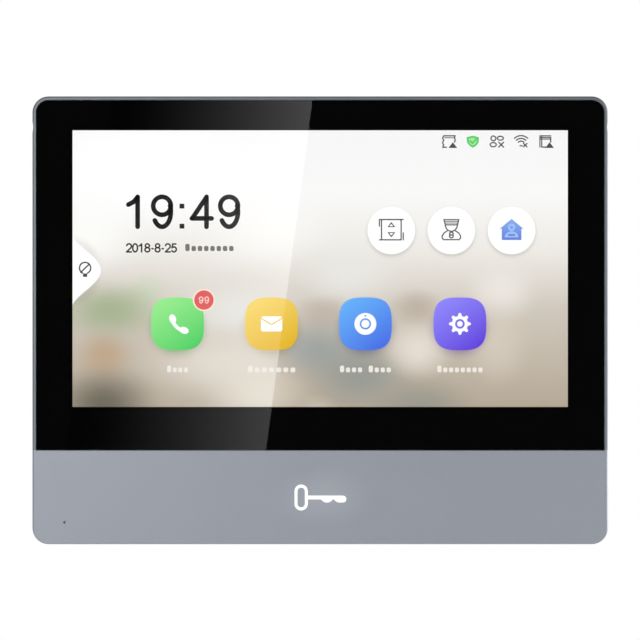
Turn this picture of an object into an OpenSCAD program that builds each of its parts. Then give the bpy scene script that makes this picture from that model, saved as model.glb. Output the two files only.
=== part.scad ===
// Wall-mounted video intercom monitor: a 7-inch touch screen in a thin case that hangs on a steel wall plate.
// Millimetres. +X is to the right as seen from the front, +Z is up and the screen faces -Y.
// The wall is the plane Y = 0, and the origin is the middle of the wall plate's screw pattern.

/* [Body] */
// Width of the front frame
body_w = 178.6; // [178.6:0.2:182]
// Height of the front frame
body_h = 139; // [139:0.5:142]
// Distance from the wall to the front face
body_d = 24; // [24:0.5:27]
// Radius of the front outline's corners
corner_r = 5; // [4.5:0.1:5.5]
// Thickness of the case walls
wall_t = 2; // [1.8:0.1:2.2]
// Height of the plain strip below the glass
strip_h = 29.05; // [28.9:0.05:29.3]
// Width of the bevel round the front face
front_bevel = 0.3; // [0.2:0.05:0.4]

/* [Screen] */
// Width of the grey rim beside and above the glass
rim_w = 1; // [0.95:0.05:1.2]
// Width of the picture
active_w = 153.8; // [152:0.1:154.2]
// Height of the picture
active_h = 85.9; // [84:0.1:85.9]
// Distance from the top of the body to the top of the picture
active_drop = 10.5; // [10.3:0.1:10.7]
// Thickness of the cover glass
glass_t = 0.95; // [0.8:0.05:1]

/* [Unlock key] */
// Middle of the key symbol's bow, left of the body's middle
key_bow_x = -5.9; // [-8:0.1:-4]
// Height of the key symbol's middle, from the body's middle
key_z = -55; // [-56:0.1:-54]
// Length of the symbol from the bow's middle to the tip
key_len = 14; // [13:0.1:15]

/* [Sound] */
// Diameter of the loudspeaker
speaker_d = 34; // [30:0.5:34]
// Loudspeaker, right of the body's middle
speaker_x = 50; // [48:0.5:50]
// Loudspeaker, height from the body's middle
speaker_z = -45; // [-45:0.1:-44.5]
// Diameter of the microphone hole
mic_hole_d = 0.8; // [0.6:0.1:1.2]

/* [Wall plate] */
// Width of the wall plate
plate_w = 124; // [122:0.5:126]
// Thickness of the wall plate
plate_t = 1.2; // [1:0.1:1.2]
// Distance between the two screws of a square wall box
box_screw_pitch = 60.3; // [60:0.1:62]
// Distance between the two screws of an upright wall box
gang_screw_pitch = 83.3; // [82:0.1:83.5]
// Width of a wall screw hole
wall_hole_d = 4.5; // [4:0.1:5]
// How far the monitor lifts to come off its hooks
lift = 7; // [6.5:0.1:7]
// Width of a hook
hook_w = 9; // [8:0.5:10]

/* [Electronics] */
// Width of the main board
board_w = 120; // [118:0.5:122]
// Poles of the alarm terminal block
alarm_poles = 8; // [4:2:8]
// Distance between the alarm terminal block's poles
alarm_pitch = 3.81; // [3.5:0.01:3.81]

/* [Hidden] */

$fn = 64;
// A small overlap for cuts and for joined solids
eps = 0.01;
cut = 1;

half_w = body_w / 2;
half_h = body_h / 2;

// Depths are distances from the wall towards the viewer.
d_face = body_d;
d_glass_front = d_face - 0.15;
d_glass_back = d_glass_front - glass_t;
d_mask_front = d_glass_back - 0.02;
d_mask_back = d_glass_back - 0.1;
d_seat = d_mask_back - 0.3;
d_cell_back = d_seat - 1.2;
d_light_back = d_cell_back - 1.8;
d_pan_back = d_light_back - 0.3;
d_bracket_front = d_pan_back - 0.3;
d_bracket_back = d_bracket_front - 0.8;
d_ledge_back = d_seat - 2;
d_skin_back = d_face - wall_t;
d_seam = 13.5;
d_board_rear = 13.6;
d_board_front = 15.2;
d_back = 0.6;
d_recess = 1.6;
d_floor = 3.6;
d_bay_outer = 11.9;
d_bay_inner = 13.4;

// Glass, and the picture behind it
glass_gap = 0.1;
seat_top = half_h - rim_w;
seat_bottom = -half_h + strip_h;
seat_half_w = half_w - rim_w;
seat_r = corner_r - rim_w;
active_top = half_h - active_drop;
active_bottom = active_top - active_h;
panel_half_w = 82.45;
panel_top = active_top + 3.9;
panel_bottom = panel_top - 98;

// Layers of the display
diffuser_t = 0.5;
reflector_w = 2.4;
panel_margin = 2.5;
led_margin = 5;
led_strip_w = 1.2;
bracket_margin = 1;
panel_clearance = 0.1;
mask_inset = glass_gap + 0.05;
tape_inset = 0.6;

// Inside of the case
cavity_half_w = half_w - wall_t;
cavity_half_h = half_h - wall_t;
cavity_r = corner_r - wall_t;
panel_play = 0.45;

// Fasteners
screw_play = 0.03;
clear_play = 0.4;
case_screw_d = 2.6;
case_head_d = 4.8;
case_head_t = 2;
case_head_depth = 6.5;
case_post_d = 6;
cover_post_d = 7.4;
small_screw_d = 2;
small_head_d = 3.8;
small_head_t = 1.2;
small_post_d = 4.5;
hole_spare = 0.2;
bracket_screw_x = 85;
bracket_screw_zs = [54, 12, -30];
bracket_screw_end = d_seat - 0.7;
lower_screw_end = d_skin_back - 0.8;
upper_post_x = 73;
upper_post_z = 54;
lower_post_x = 76;
lower_post_z = -54;
board_screw_d = 2.5;
board_head_d = 4.6;
board_head_t = 1.6;
board_half_w = board_w / 2;
board_top = 40;
board_bottom = -26;
shield_h = 1.8;
board_screw_x = board_half_w - 4;
board_screw_zs = [board_top - 4, board_bottom + 4];

// Backup cell, and the wireless antenna
coin_x = 26;
coin_z = 33.2;
coin_d = 12.5;
antenna_t = 0.3;

// Touch key
key_symbol_w = 4.1;
key_symbol_h = 8;
key_stroke = 0.9;
key_shaft_t = 1.15;
key_drop = 1.55;
key_tip_r = 1.05;
key_tooth_r = 2.05;
key_tooth_xs = [8, 12];
key_play = 0.02;
key_pocket_depth = d_face - 0.8;
key_guide_mid_x = 1;
key_guide_w = 26;
key_guide_h = 14;
key_guide_back = d_skin_back - 1.5;
key_led_t = 0.6;
key_board_front = key_guide_back - key_led_t;
key_board_t = 1;
key_board_back = key_board_front - key_board_t;
key_board_w = 46;
key_board_h = 20;
key_screw_dx = 19;
key_screw_end = d_skin_back + 0.5;
key_led_xs = [-6, -2, 2, 6, 10];
key_led_w = 1.6;
key_led_h = 0.8;

// Microphone
mic_x = -(half_w - 10);
mic_z = -(half_h - 6.8);
mic_boot_d = 5.6;
mic_capsule_d = 4;
mic_capsule_front = d_skin_back - 0.7;
mic_capsule_back = mic_capsule_front - 1.6;
mic_boot_back = mic_capsule_back - 0.5;
mic_socket_t = 1;
mic_socket_h = 1.8;
mic_socket_play = 0.05;

// Loudspeaker
speaker_r = speaker_d / 2;
gasket_w = 2.5;
basket_wall = 1;
basket_inset = 2;
basket_floor_t = 0.8;
d_gasket = d_floor + 0.8;
d_flange = d_gasket + 1;
magnet_d = 18;
d_magnet_back = d_flange + 2.6;
d_magnet_front = d_magnet_back + 5;
cone_r = speaker_r - 3;
speaker_socket_x = 24;
grille_hole_d = 1.6;
grille_pitch = 3;
grille_r = 12.6;

// Wall plate, its hooks and the lock
hook_x = 56;
hook_tops = [42, -14];
hook_t = plate_t;
hook_lip_h = 6;
hook_top_play = 0.5;
hook_lip_back = d_floor + 0.3;
hook_lip_front = hook_lip_back + hook_t;
slot_side_play = 0.5;
slot_h = lift + hook_t + 0.3;
pocket_front = hook_lip_front + 0.5;
pocket_t = 1.2;
plate_top = 50;
plate_bottom = -24;
plate_half_w = plate_w / 2;
plate_r = 4;
tongue_half_w = 12;
flange_top = -60;
flange_half_w = 6;
flange_front = 8.5;
plate_window = [-24, 24, -18, 22];
corner_hole_x = 42;
corner_hole_zs = [40, -16];
notch_half_w = 8;
notch_top = flange_top + 0.3;
notch_front = flange_front + 0.8;
notch_t = 1.5;
lock_screw_d = 3;
lock_depth = 5.2;
lock_head_d = 5.4;
lock_head_t = 2.2;
insert_d = 5;
insert_h = 4.5;

// Label on the rear cover
label_left = -60;
label_right = -24;
label_low = -56;
label_high = -38;
label_r = 1;
label_t = 0.15;

// Ribbons below the display: their left and right edges
lcd_ribbon_x = [-30, -10];
touch_ribbon_x = [27, 37];
key_ribbon_x = [-2, 6];
ribbon_t = 0.2;
ribbon_side_play = 1;
ribbon_slot_play = 3;
ribbon_room = 2;
ribbon_front = 1;

// Connector bay in the rear cover
bay_half_w = 48;
bay_top = 24.5;
bay_bottom = -22;
bay_t = 1.5;
bay_cut_side = 1.5;
bay_cut_bottom = -6;
plug_play = 0.3;
jack_x = -36;
jack_w = 16;
jack_h = 11.4;
jack_top = 24;
jack_l = 16;
power_x = -14;
power_poles = 2;
power_pitch = 5.08;
alarm_x = 20;
header_h = 8.4;
header_top = 22;
header_l = 9.2;
plug_l = 15;
plug_h = 7.2;
plug_depth_in = 6;
reset_x = 42;
reset_z = -15;
reset_throw = 0.3;
reset_side = 6;
reset_well_d = 3.5;
reset_depth = 3.5;
reset_floor = d_board_rear - 1.4;
terminal_screw_d = 2.2;
terminal_screw_up = 3.2;

// ---------- shared shapes ----------

// Extrudes an outline drawn in X and Z between two depths from the wall.
module slab(near, far) {
    translate([0, -near, 0]) rotate([90, 0, 0]) linear_extrude(far - near) children();
}

// A box between two depths, given its edges in X and Z.
module block(x0, x1, z0, z1, near, far) {
    slab(near, far) translate([x0, z0]) square([x1 - x0, z1 - z0]);
}

// A round bar along the depth.
module rod(x, z, d, near, far) {
    slab(near, far) translate([x, z]) circle(d = d);
}

// A tube along the depth.
module ring(x, z, d_out, d_in, near, far) {
    slab(near, far) translate([x, z]) difference() {
        circle(d = d_out);
        circle(d = d_in);
    }
}

// A rectangle given its edges, with rounded corners.
module rounded(x0, x1, z0, z1, r) {
    translate([x0 + r, z0]) square([x1 - x0 - 2 * r, z1 - z0]);
    translate([x0, z0 + r]) square([x1 - x0, z1 - z0 - 2 * r]);
    for (x = [x0 + r, x1 - r], z = [z0 + r, z1 - r]) translate([x, z]) circle(r = r);
}

// A rounded rectangle about the body's middle.
module rounded_mid(half_x, half_z, r) {
    rounded(-half_x, half_x, -half_z, half_z, r);
}

// A cross-head screw along the depth whose point is towards the viewer.
module screw_forward(x, z, d, head_d, head_t, head_depth, tip_depth) {
    difference() {
        union() {
            rod(x, z, head_d, head_depth, head_depth + head_t);
            rod(x, z, d, head_depth + head_t - eps, tip_depth);
        }
        for (turn = [0, 90]) translate([x, -head_depth, z]) rotate([0, turn, 0])
            translate([-head_d * 0.3, -head_t * 0.6, -head_d * 0.07])
                cube([head_d * 0.6, cut, head_d * 0.14]);
    }
}

function unit(v) = v / norm(v);

// Direction of a path at one of its points.
function heading(path, i) = unit(path[min(i + 1, len(path) - 1)] - path[max(i - 1, 0)]);

// A round wire swept along a list of points.
module wire(path, d) {
    sides = 8;
    last = len(path) - 1;
    aside = [0.3, 1, 0.2];
    rings = [for (i = [0 : last])
        let (u = unit(cross(heading(path, i), aside)), v = cross(heading(path, i), u))
        for (k = [0 : sides - 1]) path[i] + d / 2 * (cos(k * 360 / sides) * u + sin(k * 360 / sides) * v)];
    walls = [for (i = [0 : last - 1], k = [0 : sides - 1])
        let (next = (k + 1) % sides)
        [i * sides + k, (i + 1) * sides + k, (i + 1) * sides + next, i * sides + next]];
    start_cap = [for (k = [0 : sides - 1]) k];
    end_cap = [for (k = [sides - 1 : -1 : 0]) last * sides + k];
    polyhedron(points = rings, faces = concat(walls, [start_cap, end_cap]));
}

// ---------- front ----------

// Outline of the glass seat: round at the top, square where it meets the strip.
module glass_outline(play) {
    translate([-seat_half_w + play, seat_bottom + play])
        square([2 * (seat_half_w - play), seat_top - seat_r - seat_bottom - play]);
    translate([-seat_half_w + seat_r, seat_bottom + play])
        square([2 * (seat_half_w - seat_r), seat_top - seat_bottom - 2 * play]);
    for (side = [-1, 1]) translate([side * (seat_half_w - seat_r), seat_top - seat_r])
        circle(r = seat_r - play);
}

// The picture's window.
module active_outline(play) {
    translate([-active_w / 2 - play, active_bottom - play])
        square([active_w + 2 * play, active_h + 2 * play]);
}

// The display panel's outline.
module panel_outline(play) {
    translate([-panel_half_w - play, panel_bottom - play])
        square([2 * (panel_half_w + play), panel_top - panel_bottom + 2 * play]);
}

// The straight part of the key symbol.
module key_shaft(play) {
    start_x = key_bow_x + (key_symbol_w - key_stroke) / 2;
    end_x = key_bow_x + key_len - key_tip_r;
    translate([start_x, key_z - key_shaft_t / 2 - play]) square([end_x - start_x, key_shaft_t + 2 * play]);
}

// An upright oval ring.
module key_bow(play) {
    bow_r = key_symbol_w / 2;
    hole_r = bow_r - key_stroke - play;
    straight = key_symbol_h / 2 - bow_r;
    difference() {
        union() {
            translate([-bow_r - play, -straight]) square([2 * (bow_r + play), 2 * straight]);
            for (z = [-straight, straight]) translate([0, z]) circle(r = bow_r + play);
        }
        translate([-hole_r, -straight]) square([2 * hole_r, 2 * straight]);
        for (z = [-straight, straight]) translate([0, z]) circle(r = hole_r);
    }
}

// A soft bulge below the shaft.
module key_tooth(play) {
    intersection() {
        translate([0, key_tooth_r - key_drop]) circle(r = key_tooth_r + play);
        translate([-key_tooth_r, -key_drop - cut]) square([2 * key_tooth_r, key_drop + cut]);
    }
}

// A hollow bow, a shaft with a round tip, and two teeth.
module key_symbol(play) {
    key_shaft(play);
    translate([key_bow_x, key_z]) {
        key_bow(play);
        for (x = key_tooth_xs) translate([x, 0]) key_tooth(play);
        translate([key_len - key_tip_r, key_tip_r - key_drop]) circle(r = key_tip_r + play);
    }
}

// What the bevel takes off one straight edge, at a distance from the middle.
module bevel_edge(distance, length) {
    translate([0, -d_face, -length / 2]) linear_extrude(length) polygon([
        [distance - front_bevel - cut, -cut],
        [distance + cut, -cut],
        [distance + cut, front_bevel + cut]
    ]);
}

// What the bevel takes off one round corner, seen from the corner's centre.
module bevel_corner() {
    reach = corner_r + 2 * cut;
    intersection() {
        translate([0, -d_face, 0]) rotate([90, 0, 0]) rotate_extrude() polygon([
            [corner_r - front_bevel - cut, cut],
            [corner_r + cut, cut],
            [corner_r + cut, -front_bevel - cut]
        ]);
        translate([0, -d_face - reach, 0]) cube([reach, 2 * reach, reach]);
    }
}

// What the bevel takes off the outer edge of the front face.
module bevel_cut() {
    for (turn = [0, 180]) rotate([0, turn, 0]) bevel_edge(half_w, 2 * (half_h - corner_r));
    for (turn = [90, 270]) rotate([0, turn, 0]) bevel_edge(half_h, 2 * (half_w - corner_r));
    for (flip_x = [0, 1], flip_z = [0, 1]) mirror([flip_x, 0, 0]) mirror([0, 0, flip_z])
        translate([half_w - corner_r, 0, half_h - corner_r]) bevel_corner();
}

module front_frame() {
    scallop_r = 6.8;
    scallop_depth = 0.2;
    scallop_z = 60;
    color("#9ca1a8") difference() {
        union() {
            difference() {
                slab(d_seam, d_face) rounded_mid(half_w, half_h, corner_r);
                slab(d_seam - cut, d_ledge_back) rounded(-cavity_half_w, cavity_half_w, seat_bottom + wall_t,
                    cavity_half_h, cavity_r);
                slab(d_seam - cut, d_skin_back) rounded(-cavity_half_w, cavity_half_w, -cavity_half_h,
                    seat_bottom - wall_t, cavity_r);
                slab(d_seam - cut, d_bracket_back) rounded_mid(cavity_half_w, cavity_half_h, cavity_r);
                slab(d_ledge_back - cut, d_seat + eps) panel_outline(panel_play);
                slab(d_seat, d_face + cut) glass_outline(0);
            }
            for (side = [-1, 1], z = bracket_screw_zs)
                rod(side * bracket_screw_x, z, small_post_d, d_bracket_front, d_ledge_back + eps);
            for (side = [-1, 1])
                rod(side * lower_post_x, lower_post_z, case_post_d, d_seam, d_skin_back + eps);
            for (side = [-1, 1])
                rod(key_guide_mid_x + side * key_screw_dx, key_z, small_post_d, key_board_front,
                d_skin_back + eps);
            ring(mic_x, mic_z, mic_boot_d + 2 * (mic_socket_t + mic_socket_play),
                mic_boot_d + 2 * mic_socket_play,
                d_skin_back - mic_socket_h, d_skin_back + eps);
        }
        for (side = [-1, 1], z = bracket_screw_zs)
            rod(side * bracket_screw_x, z, small_screw_d + 2 * screw_play, d_bracket_front - cut,
                bracket_screw_end + hole_spare);
        for (side = [-1, 1])
            rod(side * lower_post_x, lower_post_z, case_screw_d + 2 * screw_play, d_seam - cut,
                lower_screw_end + hole_spare);
        for (side = [-1, 1])
            rod(key_guide_mid_x + side * key_screw_dx, key_z, small_screw_d + 2 * screw_play,
                key_board_front - cut,
                key_screw_end + hole_spare);
        rod(mic_x, mic_z, mic_hole_d, d_skin_back - cut, d_face + cut);
        bevel_cut();
        slab(key_pocket_depth, d_face + cut) key_symbol(key_play);
        slab(d_skin_back - cut, key_pocket_depth + eps) key_shaft(key_play);
        // Room for the two ribbons below the display
        for (x = [lcd_ribbon_x, touch_ribbon_x]) block(x[0] - ribbon_side_play, x[1] + ribbon_side_play,
            panel_bottom - ribbon_room, panel_bottom, d_ledge_back - cut, d_cell_back + ribbon_front);
        for (side = [-1, 1])
            rod(side * (half_w + scallop_r - scallop_depth), scallop_z, 2 * scallop_r, d_seam - cut,
            d_face + cut);
    }
}

module cover_glass() {
    color("#0c0c10", 0.35) slab(d_glass_back, d_glass_front) glass_outline(glass_gap);
}

module glass_mask() {
    color("#060507") slab(d_mask_back, d_mask_front) difference() {
        glass_outline(mask_inset);
        active_outline(0);
    }
}

module glass_adhesive() {
    color("#1a1a1c") slab(d_seat, d_mask_back) difference() {
        glass_outline(tape_inset);
        panel_outline(panel_play + tape_inset);
    }
}

module lcd_cell() {
    color("#e8e6e2") slab(d_cell_back, d_seat) panel_outline(0);
}

module backlight_frame() {
    color("#f4f4f2") difference() {
        slab(d_light_back, d_cell_back) panel_outline(0);
        slab(d_light_back - cut, d_cell_back + cut) panel_outline(-reflector_w);
    }
}

module diffuser_sheets() {
    color("#ffffff") slab(d_cell_back - diffuser_t, d_cell_back) panel_outline(-panel_margin);
}

module light_guide_plate() {
    color("#dff0f4")
        block(-panel_half_w + panel_margin, panel_half_w - panel_margin, panel_bottom + led_margin,
        panel_top - panel_margin, d_light_back, d_cell_back - diffuser_t);
}

// A row of white light-emitting diodes on a strip, shining up into the light guide.
module backlight_leds() {
    led_count = 21;
    led_pitch = 7.4;
    led_w = 3;
    led_play = 0.2;
    strip_low = panel_bottom + panel_margin + panel_clearance;
    strip_top = strip_low + led_strip_w;
    strip_half_w = panel_half_w - panel_margin - panel_clearance;
    front = d_cell_back - diffuser_t;
    color("#f3e27a") {
        block(-strip_half_w, strip_half_w, strip_low, strip_top, d_light_back, front);
        for (i = [0 : led_count - 1]) {
            x = (i - (led_count - 1) / 2) * led_pitch;
            block(x - led_w / 2, x + led_w / 2, strip_top - eps, panel_bottom + led_margin,
                d_light_back + led_play,
                front - led_play);
        }
    }
}

module lcd_back_plate() {
    color("#c9ccd0") slab(d_pan_back, d_light_back) panel_outline(0);
}

module lcd_foam() {
    foam_w = 4;
    foam_inset = 1;
    color("#2b2b2e") slab(d_bracket_front, d_pan_back) difference() {
        panel_outline(-foam_inset);
        panel_outline(-foam_inset - foam_w);
    }
}

// Steel sheet that clamps the display and carries the main board.
module panel_bracket() {
    side_play = 0.3;
    sheet_r = 2;
    window_x = 68;
    window_half_w = 6;
    window_low = -10;
    window_high = 34;
    window_r = 3;
    half = cavity_half_w - side_play;
    near = d_bracket_back - cut;
    far = d_bracket_front + cut;
    color("#b9bcc0") difference() {
        union() {
            slab(d_bracket_back, d_bracket_front)
                rounded(-half, half, panel_bottom - bracket_margin, panel_top + bracket_margin, sheet_r);
            for (side = [-1, 1], z = board_screw_zs)
                rod(side * board_screw_x, z, board_screw_d * 2, d_board_front, d_bracket_back + eps);
            for (side = [-1, 1])
                rod(side * upper_post_x, upper_post_z, case_post_d, d_seam, d_bracket_back + eps);
        }
        for (side = [-1, 1], z = bracket_screw_zs)
            rod(side * bracket_screw_x, z, small_screw_d + clear_play, near, far);
        for (side = [-1, 1], z = board_screw_zs)
            rod(side * board_screw_x, z, board_screw_d + 2 * screw_play, d_board_front - cut, far);
        for (side = [-1, 1])
            rod(side * upper_post_x, upper_post_z, case_screw_d + 2 * screw_play, d_seam - cut, far);
        // Slots for the two ribbons
        for (x = [lcd_ribbon_x, touch_ribbon_x])
            block(x[0] - ribbon_slot_play, x[1] + ribbon_slot_play, panel_bottom - ribbon_room,
                panel_bottom + 2 * ribbon_room, near, far);
        // Windows that save weight
        for (side = [-1, 1]) slab(near, far)
            rounded(side * window_x - window_half_w, side * window_x + window_half_w, window_low,
                window_high, window_r);
    }
}

module bracket_screws() {
    color("#7b7e84") for (side = [-1, 1], z = bracket_screw_zs)
        screw_forward(side * bracket_screw_x, z, small_screw_d, small_head_d, small_head_t,
            d_bracket_back - small_head_t, bracket_screw_end);
}

// ---------- touch key, microphone and loudspeaker ----------

module key_light_guide() {
    color("#ffffff") {
        block(key_guide_mid_x - key_guide_w / 2, key_guide_mid_x + key_guide_w / 2, key_z - key_guide_h / 2,
            key_z + key_guide_h / 2, key_guide_back, d_skin_back);
        slab(d_skin_back - eps, key_pocket_depth + eps) key_shaft(0);
        slab(key_pocket_depth + key_play, d_face - key_play) key_symbol(0);
    }
}

module key_board() {
    color("#1d5c3a") difference() {
        block(key_guide_mid_x - key_board_w / 2, key_guide_mid_x + key_board_w / 2, key_z - key_board_h / 2,
            key_z + key_board_h / 2, key_board_back, key_board_front);
        for (side = [-1, 1])
            rod(key_guide_mid_x + side * key_screw_dx, key_z, small_screw_d + clear_play,
                key_board_back - cut,
                key_board_front + cut);
    }
}

module key_leds() {
    color("#fff6c8") for (x = key_led_xs) block(x - key_led_w / 2, x + key_led_w / 2, key_z - key_led_h / 2,
        key_z + key_led_h / 2, key_board_front, key_guide_back);
}

module key_screws() {
    color("#7b7e84") for (side = [-1, 1])
        screw_forward(key_guide_mid_x + side * key_screw_dx, key_z, small_screw_d, small_head_d, small_head_t,
            key_board_back - small_head_t, key_screw_end);
}

module mic_capsule() {
    color("#c4c7cb") rod(mic_x, mic_z, mic_capsule_d, mic_capsule_back, mic_capsule_front);
}

module mic_boot() {
    sound_hole_d = 1;
    wire_hole_d = 2.4;
    color("#232326") difference() {
        rod(mic_x, mic_z, mic_boot_d, mic_boot_back, d_skin_back);
        rod(mic_x, mic_z, mic_capsule_d, mic_capsule_back, mic_capsule_front);
        rod(mic_x, mic_z, sound_hole_d, mic_capsule_front - eps, d_skin_back + cut);
        rod(mic_x, mic_z, wire_hole_d, mic_boot_back - cut, mic_capsule_back + eps);
    }
}

module mic_wires() {
    wire_d = 0.8;
    rear = -(mic_capsule_back - wire_d / 2);
    color("#b03030") for (dx = [-0.5, 0.5]) wire([
        [mic_x + dx, rear, mic_z],
        [mic_x + dx, rear + 2, mic_z + 1],
        [mic_x + 12 + dx, rear + 2, mic_z + 4],
        [-34, rear + 2, key_z + 2 * dx],
        [key_guide_mid_x - key_board_w / 2 + 1, rear + 2, key_z + 2 * dx],
        [key_guide_mid_x - key_board_w / 2 + 1.4, -(key_board_back - wire_d / 2), key_z + 2 * dx]
    ], wire_d);
}

module speaker_gasket() {
    color("#2a2a2d") ring(speaker_x, speaker_z, speaker_d, speaker_d - 2 * gasket_w, d_floor, d_gasket);
}

// Steel basket: a flange and a cup whose floor holds the magnet.
module speaker_basket() {
    cup_d = speaker_d - 2 * basket_inset;
    floor_hole_d = 8;
    color("#8d9094") {
        ring(speaker_x, speaker_z, speaker_d, speaker_d - 2 * gasket_w, d_gasket, d_flange);
        ring(speaker_x, speaker_z, cup_d, cup_d - 2 * basket_wall, d_flange - eps, d_magnet_back);
        ring(speaker_x, speaker_z, cup_d, floor_hole_d, d_magnet_back - basket_floor_t, d_magnet_back);
    }
}

// Round magnet with a wider steel cap on its front.
module speaker_magnet() {
    cap_t = 1;
    cap_rim = 1;
    color("#3a3c40") {
        rod(speaker_x, speaker_z, magnet_d, d_magnet_back, d_magnet_front);
        rod(speaker_x, speaker_z, magnet_d + 2 * cap_rim, d_magnet_front - eps, d_magnet_front + cap_t);
    }
}

// Paper cone with its coil; it travels to and fro along Y.
module speaker_cone() {
    rear = d_gasket + 0.2;
    coil_front = d_magnet_back - 1.6;
    coil_d = 10;
    neck_r = 5.5;
    cone_h = 1.4;
    dish_h = 0.9;
    rim = 1;
    paper = 0.8;
    color("#3d3a36") difference() {
        union() {
            translate([speaker_x, -rear, speaker_z]) rotate([90, 0, 0])
                cylinder(h = cone_h, r1 = cone_r - rim, r2 = neck_r);
            rod(speaker_x, speaker_z, coil_d, rear, coil_front);
        }
        translate([speaker_x, -rear + eps, speaker_z]) rotate([90, 0, 0])
            cylinder(h = dish_h, r1 = cone_r - rim - paper, r2 = neck_r);
    }
}

module speaker_wires() {
    wire_d = 1.2;
    start = -(d_flange + wire_d / 2 + 0.05);
    color("#2f2f33") for (dz = [-1, 1]) wire([
        [speaker_x - speaker_r + 0.8, start, speaker_z + dz],
        [speaker_x - speaker_r - 6, start - 2, speaker_z + dz],
        [speaker_socket_x + 1.2 * dz, -10, -36],
        [speaker_socket_x + 1.2 * dz, -12, -32],
        [speaker_socket_x + 1.2 * dz, -12, board_bottom + 0.1]
    ], wire_d);
}

// ---------- main board ----------

module main_board() {
    color("#1f6a43") slab(d_board_rear, d_board_front) difference() {
        rounded(-board_half_w, board_half_w, board_bottom, board_top, 2);
        for (side = [-1, 1], z = board_screw_zs)
            translate([side * board_screw_x, z]) circle(d = board_screw_d + clear_play);
    }
}

module board_screws() {
    color("#a8abb0") for (side = [-1, 1], z = board_screw_zs)
        screw_forward(side * board_screw_x, z, board_screw_d, board_head_d, board_head_t,
            d_board_rear - board_head_t, d_bracket_back - 0.4);
}

// The processor's outline, shared with the thermal pad.
module processor_block(near, far) {
    block(-8, 8, 8, 24, near, far);
}

module processor() {
    chip_t = 1.2;
    color("#26262a") processor_block(d_board_front, d_board_front + chip_t);
}

// Tinned cover over the processor and its memory.
module rf_shield() {
    tin = 0.3;
    lid_t = 0.2;
    color("#cfd2d5") difference() {
        block(-22, 22, 2, 30, d_board_front, d_board_front + shield_h);
        block(-22 + tin, 22 - tin, 2 + tin, 30 - tin, d_board_front - cut, d_board_front + shield_h - lid_t);
    }
}

module thermal_pad() {
    color("#9db6d8") processor_block(d_board_front + shield_h, d_bracket_back);
}

// Memory beside the processor, and the sound, network and power chips round it.
module small_chips() {
    memory_w = 8;
    memory_h = 12;
    memory_t = 1;
    chip_w = 6;
    chip_h = 5;
    chip_t = 1.2;
    color("#1f1f22") {
        for (x = [-19, 11])
            block(x, x + memory_w, 10, 10 + memory_h, d_board_front, d_board_front + memory_t);
        for (corner = [[-50, 10], [-50, -4], [36, 10], [36, -4], [48, 10]])
            block(corner[0], corner[0] + chip_w, corner[1], corner[1] + chip_h, d_board_front,
                d_board_front + chip_t);
    }
}

module inductors() {
    coil_side = 6;
    coil_h = 2.2;
    color("#4a4a4e") for (x = [-38, -28])
        block(x, x + coil_side, -8, -8 + coil_side, d_board_front, d_board_front + coil_h);
}

module wifi_module() {
    can_h = 2;
    color("#d5d7da") block(40, 54, 22, 34, d_board_front, d_board_front + can_h);
}

// Ribbon sockets on the board's front, and the loudspeaker's socket on its back.
module board_sockets() {
    edge = board_bottom + 1;
    socket_h = 4;
    socket_t = 1.4;
    speaker_socket_w = 6;
    speaker_socket_low = board_bottom + 0.1;
    speaker_socket_h = 2.2;
    speaker_socket_t = 3.2;
    color("#efe9d8") {
        for (x = [lcd_ribbon_x, touch_ribbon_x, key_ribbon_x])
            block(x[0] - ribbon_side_play, x[1] + ribbon_side_play, edge, edge + socket_h, d_board_front,
                d_board_front + socket_t);
        block(speaker_socket_x - speaker_socket_w / 2, speaker_socket_x + speaker_socket_w / 2,
            speaker_socket_low,
            speaker_socket_low + speaker_socket_h, d_board_rear - speaker_socket_t, d_board_rear);
    }
}

// A point of a path moved sideways by t, square to the path.
function beside(path, i, t) =
    let (after = max(i, 1), before = min(i + 1, len(path) - 1))
    let (along = unit(unit(path[after] - path[after - 1]) + unit(path[before] - path[before - 1])))
    path[i] + t * [-along[1], along[0]];

// A flat ribbon, bent along a path of depths and heights.
module ribbon(edges, path, t) {
    near_side = [for (i = [0 : len(path) - 1]) path[i]];
    far_side = [for (i = [len(path) - 1 : -1 : 0]) beside(path, i, t)];
    translate([edges[0], 0, 0]) rotate([90, 0, 90]) mirror([1, 0]) linear_extrude(edges[1] - edges[0])
        polygon(concat(near_side, far_side));
}

// From the display's lower edge back through the bracket and up to the board.
module lcd_ribbon() {
    color("#c98a2b") ribbon(lcd_ribbon_x, [
        [d_cell_back + 0.3, panel_bottom - 0.1],
        [d_cell_back - 0.2, panel_bottom - 0.8],
        [d_board_front + 0.9, panel_bottom - 0.6],
        [d_board_front + 0.7, board_bottom + 1]
    ], ribbon_t);
}

module touch_ribbon() {
    color("#c98a2b") ribbon(touch_ribbon_x, [
        [d_cell_back + 0.8, panel_bottom - 0.1],
        [d_cell_back + 0.1, panel_bottom - 1],
        [d_board_front + 0.9, panel_bottom - 0.8],
        [d_board_front + 0.7, board_bottom + 1]
    ], ribbon_t);
}

module key_ribbon() {
    color("#e9e9ea") ribbon(key_ribbon_x, [
        [key_board_back - 0.2, key_z + key_board_h / 2 - 1],
        [d_board_front + 0.9, key_z + key_board_h / 2 + 3],
        [d_board_front + 0.7, board_bottom + 1]
    ], ribbon_t);
}

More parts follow.
